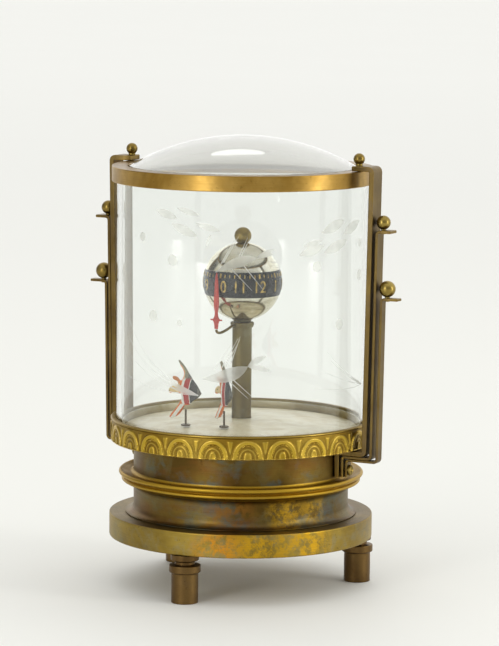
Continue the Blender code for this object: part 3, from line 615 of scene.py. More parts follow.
def cream_paint():
    """The painted sea bed: cream, with soft darker clouds and brush marks under a dull varnish."""
    paint = Paint("cream_paint", 0.42)
    paint.colour = paint.mix(paint.spots(0.42, 0.7, 75, 6, 0.66, 0.6), rgb(240, 230, 200), rgb(212, 194, 150))
    paint.over(paint.spots(0.58, 0.72, 260, 5, 0.7), 0.6, rgb(184, 164, 116))
    # Painted shade along the sea bed's edge, by the tray's side.
    rim = paint.between(paint.radius(), FLOOR.radius - 5 * MM, FLOOR.radius)
    paint.over(rim, 0.45, rgb(196, 178, 128))
    paint.uneven(0.3, 0.6, paint.noise(140, 4))
    paint.set("Coat Weight", 0.25)
    paint.set("Coat Roughness", 0.2)
    paint.bump(paint.noise(170, 5, 0.6), 0.3, 0.3 * MM)
    return paint.done()


def plain_metal(name, light, dark, roughness):
    """Bare metal with a fine grain in broad, soft clouds."""
    paint = Paint(name, roughness, 1.0)
    scale = 400
    paint.colour = paint.mix(paint.spots(0.35, 0.7, scale / 6, 5, 0.6), light, dark)
    lines = paint.noise(scale, 4, 0.6)
    paint.set("Roughness", paint.plus(paint.times(lines, 0.2), roughness - 0.1))
    paint.bump(lines, 0.12, 0.05 * MM)
    return paint.done()


def fish_paint():
    """Painted angelfish. X runs from tail to nose and Z upwards, from the fish's own foot."""
    paint = Paint("fish_paint", 0.5)
    x, _, z = paint.axes()
    wobble = paint.maths("SUBTRACT", paint.noise(480, 3), 0.5)
    u = paint.plus(paint.times(x, 1 / MM), paint.times(wobble, 1.1))
    v = paint.plus(paint.times(z, 1 / MM), wobble)

    def bowed(middle, share):
        """How far a height is from the middle, squared and scaled."""
        away = paint.maths("SUBTRACT", v, middle)
        return paint.times(paint.times(away, away), share)

    def banded(distance, stops):
        """Bands of colour that start at the distances given, in millimetres."""
        reach = 10
        return paint.ramp(paint.between(distance, -reach, reach),
                          [(0.5 + at / (2 * reach), tone) for at, tone in stops], "CONSTANT")

    white, cream, orange = rgb(240, 238, 230), rgb(232, 206, 148), rgb(230, 116, 26)
    red, black, olive = rgb(178, 28, 18), rgb(50, 50, 50), rgb(140, 134, 110)
    middle = banded(paint.maths("SUBTRACT", u, bowed(17, 0.035)), [
        (-10, cream), (-4.6, orange), (-2.7, white), (-1.3, red), (1.7, white), (2.1, black),
        (6.6, rgb(96, 94, 86))])
    dorsal = banded(paint.plus(paint.plus(u, 0.9), bowed(26, 0.12)), [
        (-10, orange), (0.5, rgb(214, 190, 140)), (1.0, olive), (2.6, rgb(104, 102, 92))])
    ventral = banded(paint.plus(u, paint.maths("SUBTRACT", 12.8, paint.times(v, 0.8))), [
        (-10, orange), (1.2, white), (3.4, orange), (6.4, olive)])
    paint.colour = paint.mix(paint.between(v, 23.0, 24.4), middle, dorsal)
    paint.over(paint.between(v, 11.6, 10.8), 1, ventral)
    tail = paint.mix(paint.spots(0.60, 0.66, 900, 2), cream, rgb(96, 74, 48))
    tail = paint.mix(paint.between(v, 20.4, 21.4), tail, rgb(206, 128, 66))
    tail = paint.mix(paint.between(v, 17.0, 16.4), tail, orange)
    behind = paint.times(paint.between(u, -3.0, -3.6), paint.between(v, 14.6, 15.4))
    paint.over(paint.times(behind, paint.between(v, 25.4, 24.8)), 1, tail)
    paint.over(paint.spots(0.62, 0.7, 1300, 2), 0.4, rgb(150, 146, 136))
    rays = paint.noise(1.0, 2, 0.5, 0.0, paint.stretched(2400, 2400, 260))
    paint.over(paint.between(rays, 0.5, 0.75), 0.2, rgb(90, 60, 40))
    paint.set("Coat Weight", 0.3)
    paint.set("Coat Roughness", 0.15)
    paint.bump(rays, 0.3, 0.1 * MM)
    return paint.done()


BAND_BRASS = band_brass()
TANK_GLASS = clear_glass("tank_glass", 0.02)
LID_GLASS = clear_glass("lid_glass", 0.05, 0.25, (0.80, 0.80, 0.765, 1.0))
DEEP_CUT = ground_glass("deep_cut", 0.8, rgb(222, 222, 218), rgb(246, 246, 242))
BRIGHT_CUT = ground_glass("bright_cut", 0.8, rgb(240, 240, 236), rgb(254, 254, 252))
LIGHT_CUT = ground_glass("light_cut", 0.5, rgb(216, 216, 209), rgb(244, 244, 238))
CHROME = chrome()
ENAMEL = black_enamel()
GILT = gilt()
RED = red_lacquer()
SILVERED = silvered()
CREAM = cream_paint()
FISH_PAINT = fish_paint()
STEEL = plain_metal("dark_steel", rgb(112, 100, 78), rgb(70, 62, 50), 0.42)
GEAR_BRASS = plain_metal("gear_brass", rgb(208, 178, 98), rgb(176, 142, 70), 0.3)
GEAR_STEEL = plain_metal("gear_steel", rgb(180, 180, 184), rgb(140, 138, 136), 0.26)


# ---------------------------------------------------------------- case

def make_base():
    bore = Span("bottom_cover").radius + GAP
    add_piece("base_turned", turned(sleeve(bore, BASE), 0.7 * MM, 192), BASE_BRASS, "base_disc")


def neck_profile():
    """Outer side from the top down, then the bore from the bottom up."""
    flange_r, flange_z = NECK.radius, NECK.bottom + 19.6 * MM
    wall = flange_r - 7.3 * MM
    bore = wall - 1.8 * MM
    cove = arc((wall + 2 * MM, flange_z + 1.9 * MM), 2 * MM, 180, 270, 8)
    big_bead = arc((flange_r - 1.1 * MM, flange_z), 1.1 * MM, 125, -65, 14)
    small_bead = arc((flange_r - 2.3 * MM, flange_z - 3.2 * MM), 0.9 * MM, 65, -65, 8)
    undercut = arc((flange_r - 3 * MM, flange_z - 8.7 * MM), 4.3 * MM, 100, 180, 10)
    fillet = arc((wall + 4 * MM, NECK.bottom + 4.2 * MM), 4 * MM, 180, 270, 10)
    return ([(wall, NECK.top)] + cove + big_bead + [(flange_r - 2.5 * MM, flange_z - 1.9 * MM)] + small_bead
            + [(flange_r - 3.2 * MM, flange_z - 4.4 * MM)] + undercut + fillet
            + [(wall + 4 * MM, NECK.bottom), (bore, NECK.bottom), (bore, NECK.top)])


def make_neck():
    add_piece("neck_turned", turned(neck_profile(), 0.2 * MM, 192), NECK_BRASS, "neck_housing")


def foot_profile(spot):
    """A plain post under a shoulder, a waist and a collar, from the top down."""
    body = spot.radius - 1.15 * MM
    shoulder, waist, collar = spot.radius, spot.radius - 2.85 * MM, spot.radius - 0.85 * MM
    return [
        (0, spot.top), (collar, spot.top), (collar, 20.9 * MM), (waist, 20.3 * MM), (waist, 18.8 * MM),
        (shoulder, 18.4 * MM), (shoulder, 15.1 * MM), (body, 14.6 * MM), (body, 0), (0, 0),
    ]


def make_feet():
    for name in ("foot_front", "foot_right", "foot_left"):
        spot = Spot(name)
        spot.radius = (spot.high.y - spot.low.y) / 2
        bm = placed(turned(foot_profile(spot), 0.35 * MM, 64, solid=True), spot.place)
        add_piece(f"{name}_turned", bm, FOOT_BRONZE, name)


def smooth_step(value, low, high):
    t = min(max((value - low) / (high - low), 0.0), 1.0)
    return t * t * (3 - 2 * t)


def bead(value, middle, width):
    """The section of a rounded ridge: 1 at its middle, and fading over its width."""
    return math.exp(-((value - middle) / width) ** 2)


# The relief is drawn in millimetres. Heights are for a band as tall as RELIEF_DRAWN, and depths
# are below the band's outer radius.
RELIEF_DRAWN = 12.2
GROUND, GROOVE, RAISED, DEEPEST = 0.62, 0.66, 0.12, 0.85
DART_LOW, DART_HIGH = 3.2, 9.9
RIM_AT = 11.1


def arch_relief(along, height):
    """Depth below the band's outer radius, at a distance along from an arch's middle, in metres."""
    x, y = along / MM, height * RELIEF_DRAWN / BAND.tall
    soft = 0.45

    def inside(half_width, rise, power):
        """How far inside an arch of this size the point is, in millimetres."""
        reach = (abs(x) / half_width) ** power + (max(y, 0) / rise) ** power
        return (1 - reach ** (1 / power)) * half_width

    outer, inner, tongue = inside(7.6, 10.3, 2.2), inside(5.2, 7.7, 2.1), inside(1.9, 4.6, 3.0)
    panel = inside(1.1, 3.5, 4.0)
    arch = smooth_step(outer, 0.0, soft) * smooth_step(-inner, 0.0, soft)
    depth = GROUND + (RAISED - GROUND - RAISED * bead(outer, 0.5, 0.22)) * arch
    if inner > 0:
        depth = RAISED + (GROOVE - RAISED) * smooth_step(inner, 0.0, soft)
        depth -= 0.3 * bead(inner, 1.35, 0.3)
        depth += (0.2 - GROOVE) * smooth_step(tongue, 0.0, 0.4)
        depth += 0.16 * smooth_step(panel, 0.0, 0.3)
    if outer < 0 and DART_LOW < y < DART_HIGH:
        from_dart, half_dart = 8.44 - abs(x), 0.35 + 0.21 * (y - DART_LOW)
        dart = smooth_step(1 - (from_dart / half_dart) ** 2, 0.0, 0.7)
        depth -= 0.36 * dart * smooth_step(-outer, 0.1, 0.6) * smooth_step(DART_HIGH - y, 0, 0.6)
    rim = smooth_step(y, RIM_AT, RIM_AT + 0.4)
    lip = smooth_step(0.75 - y, 0.0, 0.3)
    depth = depth * (1 - rim) + 0.05 * rim + 0.2 * bead(y, RIM_AT, 0.28)
    depth = depth * (1 - lip) + 0.08 * lip
    return min(max(depth, 0.0), DEEPEST) * MM


def make_band():
    """The gallery band, cast with a ring of round arches, each with a tongue, and darts between."""
    per_arch, rows = 44, 44
    steps = ARCHES * per_arch
    pitch = TAU * BAND.radius / ARCHES
    lip = 0.35 * MM
    ledge_r, ledge_z = NECK.radius - 11 * MM, BAND.bottom + 1.8 * MM
    profile = [(ledge_r, ledge_z), (ledge_r, BAND.bottom), (BAND.radius - lip - 0.2 * MM, BAND.bottom)]
    rings = [circle(radius, height, steps) for radius, height in profile]
    for row in range(rows + 1):
        height = lip + (BAND.tall - 2 * lip) * row / rows
        ring = []
        for i in range(steps):
            along = ((i / per_arch + 0.5) % 1.0 - 0.5) * pitch
            radius = BAND.radius - arch_relief(along, height)
            ring.append((*polar(radius, TAU * i / steps), BAND.bottom + height))
        rings.append(ring)
    for radius, height in [(BAND.radius - lip, BAND.top), (GLASS_BORE, BAND.top), (GLASS_BORE, ledge_z)]:
        rings.append(circle(radius, height, steps))
    add_piece("gallery_relief", skin(rings, looped=True), BAND_BRASS, "gallery_band", sharp_angle=50)


def make_ring():
    lip_r, lip_z = LID.radius - 5.4 * MM, RING.top - 2 * MM
    add_piece("top_ring_turned", turned([
        (lip_r, RING.top), (RING.radius, RING.top), (RING.radius, RING.bottom), (GLASS_BORE, RING.bottom),
        (GLASS_BORE, lip_z), (lip_r, lip_z),
    ], 0.45 * MM, 192), RING_BRASS, "top_ring")


# ---------------------------------------------------------------- tank

def floor_height(radius):
    """Height of the domed floor, read from the CAD disc's edge and crown."""
    edge = FLOOR.bottom + 0.73 * MM
    return edge + (FLOOR.top - edge) * (1 - (radius / FLOOR.radius) ** 2)


def make_tank_floor():
    inner, hole = FLOOR.radius + GAP, COLUMN.radius + GAP
    pan_floor = FLOOR.bottom - GAP
    under = pan_floor - 0.8 * MM
    add_piece("tray", turned([
        (PAN.radius, PAN.top), (PAN.radius, PAN.bottom), (inner, PAN.bottom), (inner, under), (hole, under),
        (hole, pan_floor), (inner, pan_floor), (inner, PAN.top),
    ], 0.2 * MM, 160), SILVERED, "floor_pan")
    rings = 14
    radii = [FLOOR.radius * i / rings for i in range(rings, 1, -1)] + [hole]
    dome = [(radius, floor_height(radius)) for radius in radii]
    add_piece("sea_bed", turned(dome + [(hole, FLOOR.bottom), (FLOOR.radius, FLOOR.bottom)], 0.3 * MM, 160),
              CREAM, "floor_disc")


def make_glass():
    wall = sleeve(GLASS.radius - GLASS_WALL, GLASS)
    add_piece("tank_wall", turned(wall, 0.5 * MM, 256), TANK_GLASS, "glass_cylinder")
    add_piece("lid_dome", lathe(lid_profile(), 192), LID_GLASS, "glass_lid")


def lid_profile():
    """A flat rim under the ring's lip, and a shallow spherical dome through it."""
    rim_bottom, rim_top = LID.bottom, RING.top - 2.3 * MM
    dome_r, rings = LID.radius - 6.2 * MM, 28
    rise = LID.top - RING.top
    sphere = (dome_r ** 2 + rise ** 2) / (2 * rise)
    hollow = sphere - LID_WALL
    centre = LID.top - sphere
    outer = arc((0, centre), sphere, 90, math.degrees(math.acos(dome_r / sphere)), rings)
    inner = arc((0, centre), hollow, math.degrees(math.asin((rim_bottom - centre) / hollow)), 90, rings)
    rim = soften([outer[-1], (dome_r, rim_top), (LID.radius, rim_top), (LID.radius, rim_bottom), inner[0]],
                 0.4 * MM, closed=False)
    return outer[:-1] + rim + inner[1:]


# ---------------------------------------------------------------- wheel cuts in the glass

CUT_CLEAR = 0.02 * MM      # clearance between a cut's skin and the glass
CUT_SWELL = 0.07 * MM
CUT_WIDTHS = {             # width along a stroke, from its start at 0 to its end at 1
    "leaf": lambda t: math.sin(math.pi * t) ** 0.75,
    "body": lambda t: math.sin(math.pi * t ** 1.25) ** 0.8,
    "round": lambda t: math.sqrt(max(1 - (2 * t - 1) ** 2, 0)),
    "ray": lambda t: 1 - 0.75 * t,
}


def on_glass(place, out):
    """A point on the front of the tank, from its distance round the glass and its height."""
    across, height = place
    return (*polar(GLASS.radius + CUT_CLEAR + out, FRONT + across / GLASS.radius), height)


def cut(start, end, half_width, profile="leaf", bend=(0.0, 0.0)):
    """One stroke of the engraver's wheel: a thin domed skin that follows the glass."""
    start, end = Vector(start) * MM, Vector(end) * MM
    middle = (start + end) / 2 + Vector(bend) * MM
    steps = max(8, int((end - start).length / (1.2 * MM)))
    rows = []
    for i in range(steps + 1):
        t = i / steps
        here = towards(start, middle, end, t)
        along = (middle - start).lerp(end - middle, t).normalized()
        half = Vector((-along.y, along.x)) * max(CUT_WIDTHS[profile](t), 0.04) * half_width * MM
        dome = [(share, CUT_SWELL * (1 - share * share)) for share in (-1, -0.5, 0, 0.5, 1)]
        under = [(1, -0.5 * CUT_CLEAR), (-1, -0.5 * CUT_CLEAR)]
        rows.append([on_glass(here + half * share, out) for share, out in dome + under])
    return skin(rows)


# Each engraved fish: mouth, tail root, body half width and bend, tail tips, and fin rays.
LOW_FISH = {
    "mouth": (-19.3, 109.5), "root": (2.9, 116.0), "width": 3.2, "bend": -0.13,
    "tail": [((12.0, 121.0), 1.5), ((14.0, 113.6), 1.3)],
    "rays": [((-12.9, 114.1), (-4.4, 127.2)), ((-9.3, 115.4), (-1.6, 129.6)), ((-5.2, 117.0), (-0.7, 130.3)),
             ((-7.5, 116.2), (-1.0, 128.6)), ((-4.0, 109.8), (5.4, 101.3)), ((-6.4, 109.4), (3.2, 100.7))],
}
HIGH_FISH = {
    "mouth": (-12.8, 160.7), "root": (6.8, 167.7), "width": 2.5, "bend": 0.1,
    "tail": [((15.6, 171.7), 1.1), ((14.9, 169.5), 1.1)],
    "rays": [((-10.0, 164.8), (-3.4, 177.0)), ((-9.0, 165.4), (-1.9, 177.9)), ((-1.6, 168.4), (2.4, 177.4)),
             ((-0.6, 168.6), (3.3, 176.8)), ((-4.9, 162.2), (4.6, 152.3)), ((0.8, 163.9), (10.0, 152.6))],
}
THIN_CUT = 0.3             # half width of a fin ray or a blade of grass, in millimetres


def cut_fish(fish):
    """A swordtail: a lens-shaped body from mouth to tail root, with long ray-like fins."""
    mouth, root = Vector(fish["mouth"]), Vector(fish["root"])
    along = root - mouth
    up = Vector((-along.y, along.x))
    body = [cut(mouth, root, fish["width"], "body", along * 0.05 + up * fish["bend"])]
    body += [cut(root, tip, width, "leaf", up * 0.04) for tip, width in fish["tail"]]
    return body, [cut(start, end, THIN_CUT, "ray") for start, end in fish["rays"]]


def add_cuts(name, strokes, material):
    """Strokes of the wheel as one piece that stays with the case."""
    add_piece(name, merged(strokes), material, sharp_angle=60)


def make_cuts():
    """All of the engraving, in millimetres round the glass from the front and above the ground."""
    low_body, low_rays = cut_fish(LOW_FISH)
    high_body, high_rays = cut_fish(HIGH_FISH)
    add_cuts("cut_fish_bodies", low_body + high_body, DEEP_CUT)
    add_cuts("cut_fish_rays", low_rays + high_rays, BRIGHT_CUT)

    leaves = [((-45.2, 188.7), (-32.6, 185.6), 2.0), ((-32.6, 190.4), (-21.0, 187.3), 1.4),
              ((-35.5, 182.7), (-21.9, 177.3), 2.2), ((-22.8, 183.6), (-10.5, 180.0), 1.6),
              ((40.5, 178.7), (56.0, 184.0), 2.6), ((55.2, 177.3), (70.1, 182.7), 2.6),
              ((42.0, 169.2), (58.2, 174.2), 2.6), ((27.8, 168.5), (41.6, 172.5), 2.4),
              ((29.9, 172.7), (40.8, 175.0), 1.5), ((-17.5, 172.8), (-15.2, 178.6), 0.8)]
    add_cuts("cut_leaves", [cut(a, b, w) for a, b, w in leaves], LIGHT_CUT)
    bubbles = [(-35.0, 165.3, 2.7), (-54.6, 175.2, 2.2), (-46.8, 137.9, 2.7), (-30.9, 135.6, 1.5),
               (37.7, 162.7, 2.6), (70.9, 156.3, 2.7), (52.8, 134.0, 2.7), (71.3, 171.7, 2.0)]
    add_cuts("cut_bubbles", [cut((x - r, z), (x + r, z), r, "round") for x, z, r in bubbles], LIGHT_CUT)

    left, right = (-20.8, 101.5), (75.8, 102.4)
    blades = [(left, (-66.8, 134.5), (-4.4, -7.0)), (left, (-66.0, 125.0), (-2.0, -6.0)),
              (left, (-65.3, 117.0), (0.0, -4.5)), (left, (-67.2, 106.5), (0.0, -2.2)),
              (right, (44.5, 121.5), (-1.5, -4.0)), (right, (47.0, 117.0), (-1.5, -3.5)),
              (right, (41.8, 112.4), (0.0, -2.6)), (right, (36.7, 104.4), (0.0, -2.6))]
    grass = [cut(a, b, THIN_CUT, "ray", bend) for a, b, bend in blades]
    grass += [cut((-38.0, 107.4), left, 1.0), cut((-36.0, 104.4), left, 0.8), cut((62.0, 107.6), right, 0.5)]
    add_cuts("cut_grass", grass, BRIGHT_CUT)


# ---------------------------------------------------------------- straps

# Each strip's thickness, its distance from the strap's inner face, and how much lower its foot runs.
STRIPS = {"inner": (2.4 * MM, 0.0, 0.0), "middle": (1.4 * MM, 3.4 * MM, 2.7 * MM),
          "outer": (1.3 * MM, 6.2 * MM, 4.4 * MM)}
STRAP_LOW_X, STRAP_HIGH_X = 67.8 * MM, 70.0 * MM
TAB_REACH = 9.3 * MM       # how far the inner strip's top reaches in over the ring
STRIP_BEND = 2.0 * MM
STRIP_EDGE = 0.32 * MM


def strap_face_x(height):
    """The inner strip's inner face, which leans outward from the band to the top ring."""
    share = (height - BAND.bottom) / (RING.top - BAND.bottom)
    return STRAP_LOW_X + (STRAP_HIGH_X - STRAP_LOW_X) * share


def rounded(points, radius, steps=8):
    """A polyline with its inner corners turned into arcs."""
    points = [Vector(p) for p in points]
    path = points[:1]
    for before, corner, after in zip(points, points[1:], points[2:]):
        start = corner + (before - corner).normalized() * radius
        end = corner + (after - corner).normalized() * radius
        path += [towards(start, corner, end, i / steps) for i in range(steps + 1)]
    return path + points[-1:]


def strip_path(kind):
    """Centre line in the XZ plane, from the free end at the top down to the foot on the neck."""
    thick, standoff, drop = STRIPS[kind]
    node = Span(f"strap_right_{kind}")
    half = thick / 2
    end_z = node.top - half
    run_z = BAND.bottom - GAP - drop - half
    low_x = strap_face_x(BAND.bottom) + standoff + half
    foot_x = NECK.radius - 7.0 * MM + drop + half
    end_x = STRAP_HIGH_X - TAB_REACH if kind == "inner" else node.radius
    corner_x = strap_face_x(end_z) + standoff + half
    corners = [(end_x, end_z), (corner_x, end_z), (low_x, run_z), (foot_x, run_z), (foot_x, node.bottom)]
    return rounded(corners, STRIP_BEND)


def strip_mesh(kind, side):
    """A strip of rectangular section with rounded edges and eased ends, swept along its path."""
    path = strip_path(kind)
    half_t, half_w = STRIPS[kind][0] / 2, Span(f"strap_right_{kind}").high.y
    section = soften([(half_t, half_w), (-half_t, half_w), (-half_t, -half_w), (half_t, -half_w)],
                     STRIP_EDGE, 3)
    rows = sweep(path, section)
    eased = sweep(path, [(0.82 * out, 0.95 * across) for out, across in section])
    step = (path[1] - path[0]).normalized() * STRIP_EDGE
    rows[0] = [(x + step.x, y, z + step.y) for x, y, z in rows[0]]
    rows = [eased[0]] + rows[:-1] + [eased[-1]]
    return skin([[(side * x, y, z) for x, y, z in row] for row in rows])


def ball_profile(spot, stem, seat=None, post=0.0):
    """A ball on a stem, from its pole down. With a seat, a post of its own radius goes on below it."""
    rings = 28
    lowest = math.degrees(math.asin(stem / spot.radius)) - 90
    ball = arc((0, spot.top - spot.radius), spot.radius, 90, lowest, rings)
    foot = [(stem, spot.bottom)] if seat is None else [(stem, seat), (post, seat), (post, spot.bottom)]
    return ball + foot + [(0, spot.bottom)]


def make_straps():
    for side_name, side in (("right", 1), ("left", -1)):
        for kind in STRIPS:
            node = f"strap_{side_name}_{kind}"
            add_piece(f"{node}_strip", strip_mesh(kind, side), STRAP_BRASS, node, sharp_angle=50)
        stem, screw_neck, thread = 1.2 * MM, 1.7 * MM, 0.9 * MM
        seat = Span("strap_right_inner").top + 0.1 * MM
        balls = {f"strap_ball_{side_name}_{place}": (stem,) for place in ("upper", "lower")}
        balls[f"lid_screw_{side_name}"] = (screw_neck, seat, thread)
        for node, sizes in balls.items():
            spot = Spot(node)
            bm = placed(lathe(ball_profile(spot, *sizes), 48), spot.place)
            add_piece(f"{node}_turned", bm, BALL_BRASS, node)
        make_foot_screw(f"strap_screw_{side_name}", side)


def make_foot_screw(node, side):
    """A pan head with a cut slot, on its side against the outer strip."""
    low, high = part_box(node)
    head_r = (high.z - low.z) / 2
    outer, inner = (high.x, low.x) if side > 0 else (-low.x, -high.x)
    seat, shank = outer - 1.5 * MM, 1.2 * MM
    slot_half, slot_floor = 0.4 * MM, seat + 0.6 * MM
    head = turned([(0, outer), (head_r * 0.55, outer - 0.1 * MM), (head_r * 0.9, outer - 0.5 * MM),
                   (head_r, seat + 0.4 * MM), (head_r, seat), (shank, seat), (shank, inner), (0, inner)],
                  0.25 * MM, 48, solid=True)
    for vert in head.verts:
        if abs(vert.co.y) < slot_half:
            vert.co.z = min(vert.co.z, slot_floor)
    lay = Matrix.Translation((0, 0, (low.z + high.z) / 2)) @ Matrix.Rotation(side * math.pi / 2, 4, "Y")
    add_piece(f"{node}_turned", placed(head, lay), BALL_BRASS, node, sharp_angle=30)


# ---------------------------------------------------------------- column, globe and pointer

def make_column():
    bore = SHAFT.radius + 0.5 * MM
    add_piece("column_drawn", turned(sleeve(bore, COLUMN), 0.3 * MM, 96), COLUMN_BRASS, "column_tube")
    bore = COLUMN.radius + GAP
    add_piece("collar_turned", turned([
        (bore, COLLAR.top), (COLLAR.radius, COLLAR.top), (COLLAR.radius, COLLAR.top - 1.2 * MM),
        (COLLAR.radius - 0.4 * MM, COLLAR.bottom), (bore, COLLAR.bottom),
    ], 0.3 * MM, 96), COLUMN_BRASS, "column_collar")


def globe_half(name, node, sign):
    """A thin plated bowl from beside the numeral band to the shaft at its pole."""
    rings, wall, seam = 26, 1.2 * MM, 0.15 * MM
    hole = SHAFT.radius + GAP
    start = math.degrees(math.asin((BELT.top - GLOBE_Z + seam) / GLOBE_R))
    end = math.degrees(math.acos((hole + GAP) / GLOBE_R))
    outer = arc((0, GLOBE_Z), GLOBE_R, sign * start, sign * end, rings)
    inner = arc((0, GLOBE_Z), GLOBE_R - wall, sign * end, sign * start, rings)
    profile = outer + [(hole, outer[-1][1]), (hole, inner[0][1])] + inner
    add_piece(name, lathe(soften(profile, 0.15 * MM), 128), CHROME, node)


BARELY = 0.01 * MM         # how far the foot of a numeral or tick stands off the band
DIGIT_SHARE = 0.69         # height of a digit for a font size of 1


def on_belt(angle, height, out):
    """A point on the globe's equator band, with height measured from the globe's middle."""
    radius = math.sqrt(GLOBE_R ** 2 - height ** 2) + BELT_PROUD + out
    return (*polar(radius, angle), GLOBE_Z + height)


def numeral_mesh(text, height, angle, bottom):
    """A raised numeral wrapped on the band, its middle at an angle round the clock's axis."""
    curve = bpy.data.curves.new("numeral", "FONT")
    curve.body = text
    curve.align_x = "CENTER"
    curve.size = height / DIGIT_SHARE
    curve.space_character = 1.05
    curve.offset = 0.012 * height
    bm = filled(curve)
    bmesh.ops.triangulate(bm, faces=bm.faces)
    grid = 0.5 * MM
    for step in range(-8, 17):
        for normal in (Vector((1, 0, 0)), Vector((0, 1, 0))):
            bmesh.ops.bisect_plane(bm, geom=list(bm.verts) + list(bm.edges) + list(bm.faces),
                                   plane_co=normal * step * grid, plane_no=normal)
    narrow, proud = 0.86, 0.16 * MM
    face_up = bmesh.ops.extrude_face_region(bm, geom=list(bm.faces))
    lifted = {v for v in face_up["geom"] if isinstance(v, bmesh.types.BMVert)}
    for vert in bm.verts:
        turn = angle + vert.co.x * narrow / GLOBE_R
        vert.co = on_belt(turn, bottom + vert.co.y, proud if vert in lifted else BARELY)
    return bm


def tick_mesh(angle, bottom, top, half_width):
    """A raised stroke above the numerals."""
    corners = [(-half_width, bottom), (half_width, bottom), (half_width, top), (-half_width, top)]
    return skin([[on_belt(angle + x / GLOBE_R, z, out) for x, z in corners] for out in (BARELY, 0.14 * MM)])


def make_globe():
    globe_half("globe_cap", "globe_upper", 1)
    globe_half("globe_bowl", "globe_lower", -1)
    bore = SHAFT.radius + 0.2 * MM
    hub_low, hub_high = COLLAR.top + GAP, GLOBE_Z - GLOBE_R + 1.1 * MM
    hub = turned([(bore, hub_high), (4.6 * MM, hub_high - 0.5 * MM), (4.2 * MM, hub_low), (bore, hub_low)],
                 0.15 * MM, 64)
    add_piece("globe_hub", hub, COLUMN_BRASS, body="globe")
    rows = 12
    half = BELT.top - GLOBE_Z
    heights = [half - 2 * half * i / rows for i in range(rows + 1)]
    edge = [(math.sqrt(GLOBE_R ** 2 - height ** 2) + BELT_PROUD, GLOBE_Z + height) for height in heights]
    bore = edge[0][0] - 1.2 * MM
    add_piece("hour_belt", turned(edge + [(bore, edge[-1][1]), (bore, edge[0][1])], 0.12 * MM, 160),
              ENAMEL, "numeral_band")
    hour = TAU / 12
    digit_tall, digit_foot = 5.6 * MM, -3.6 * MM
    marks = []
    for number in range(1, 13):
        angle = HOUR_TWELVE + (number - 12) * hour
        marks.append(numeral_mesh(str(number), digit_tall, angle, digit_foot))
        marks.append(tick_mesh(angle, 3.2 * MM, 5.4 * MM, 0.42 * MM))
        for quarter in (1, 2, 3):
            marks.append(tick_mesh(angle + hour * quarter / 4, 3.4 * MM, 5.0 * MM, 0.22 * MM))
    add_piece("hour_numerals", merged(marks), GILT, body="globe", sharp_angle=30)
    finial = Spot("finial_ball")
    profile = ball_profile(finial, 2.2 * MM, finial.bottom + 0.5 * MM, 3.0 * MM)
    add_piece("finial_turned", lathe(profile, 64), BALL_BRASS, "finial_ball")


def make_pointer():
    """A bent wire from the column's collar, and a red spear on its end."""
    wire, reach = 0.65 * MM, 20.8 * MM
    low = Span("pointer_arm").bottom + wire
    line = smooth_line([
        (COLLAR.radius + GAP, low + 2.7 * MM), (9.0 * MM, low + 2.1 * MM), (13.0 * MM, low + 0.8 * MM),
        (17.0 * MM, low), (19.6 * MM, low + 0.3 * MM), (reach, low + 1.5 * MM)], 8)
    round_bar = [(y, -x) for x, y in arc((0, 0), wire, 0, 360, 16)[:-1]]
    aim = Matrix.Rotation(POINTER_AZIMUTH, 4, "Z")
    add_piece("pointer_wire", placed(skin(sweep(line, round_bar)), aim), COLUMN_BRASS, "pointer_arm")
    spear = Span("pointer")
    right = [(0.9, 0.0), (1.0, 1.5), (1.35, 3.1), (1.9, 4.0), (3.5, 4.5), (1.8, 5.0), (1.15, 5.9), (0.8, 7.1),
             (0.75, 8.1), (1.15, 10.0), (1.4, 12.3), (1.3, 15.5), (1.0, 19.5), (0.7, 24.0)]
    outline = right + [(0.0, spear.tall / MM)] + [(-x, z) for x, z in reversed(right)]
    bm = plate(outline, 0.8 * MM, 0.15 * MM, sharp={0, len(right), 2 * len(right)})
    place = aim @ Matrix.Translation((reach, 0, spear.bottom)) @ Matrix.Rotation(math.pi / 2, 4, "Z")
    add_piece("pointer_spear", bm, RED, "pointer", place=place, sharp_angle=50)


# ---------------------------------------------------------------- fish

FISH_HEADING = {"fish_outer": math.radians(-4), "fish_inner": math.radians(-38)}


def make_fish():
    """Angelfish cut from thin sheet and painted, each on a pin with a round foot."""
    outline = [
        (8.7, 16.9), (7.6, 18.6), (6.6, 20.1), (4.2, 22.9), (1.3, 26.7), (-1.4, 30.3), (-4.1, 32.5),
        (-3.0, 30.3),
        (-1.5, 28.3), (-0.7, 26.0), (-1.4, 24.0), (-2.6, 22.5), (-5.4, 24.1), (-7.2, 24.2), (-6.9, 23.0),
        (-4.6, 21.9), (-4.3, 20.6), (-7.2, 19.7), (-9.5, 17.7), (-9.2, 16.2), (-6.0, 16.6), (-2.8, 16.1),
        (-2.2, 14.3), (-3.3, 11.9), (-5.4, 8.8), (-8.3, 5.6), (-8.9, 4.1), (-5.4, 4.8), (-2.2, 8.0),
        (-0.9, 10.6), (0.4, 10.7), (2.1, 11.1), (3.7, 12.8), (6.3, 14.4), (7.5, 15.4),
    ]
    nose, crest, breast = 0, 6, 29
    for node, heading in FISH_HEADING.items():
        foot = Spot(f"{node}_pin")
        ground = Matrix.Translation((0, 0, foot.bottom - 0.6 * MM))
        bm = plate(outline, 1.4 * MM, 0.3 * MM, sharp={nose, crest, breast})
        add_piece(f"{node}_painted", bm, FISH_PAINT, node, sharp_angle=50,
                  place=foot.place @ ground @ Matrix.Rotation(heading, 4, "Z"))
        pin_r, shoulder = 0.5 * MM, foot.bottom + 0.7 * MM
        pin = turned([
            (0, foot.top), (pin_r, foot.top), (pin_r, shoulder + 0.2 * MM), (foot.radius, shoulder),
            (foot.radius, foot.bottom), (0, foot.bottom),
        ], 0.15 * MM, 40, solid=True)
        add_piece(f"{node}_pin_turned", placed(pin, foot.place), STEEL, f"{node}_pin")


# ---------------------------------------------------------------- underside and movement

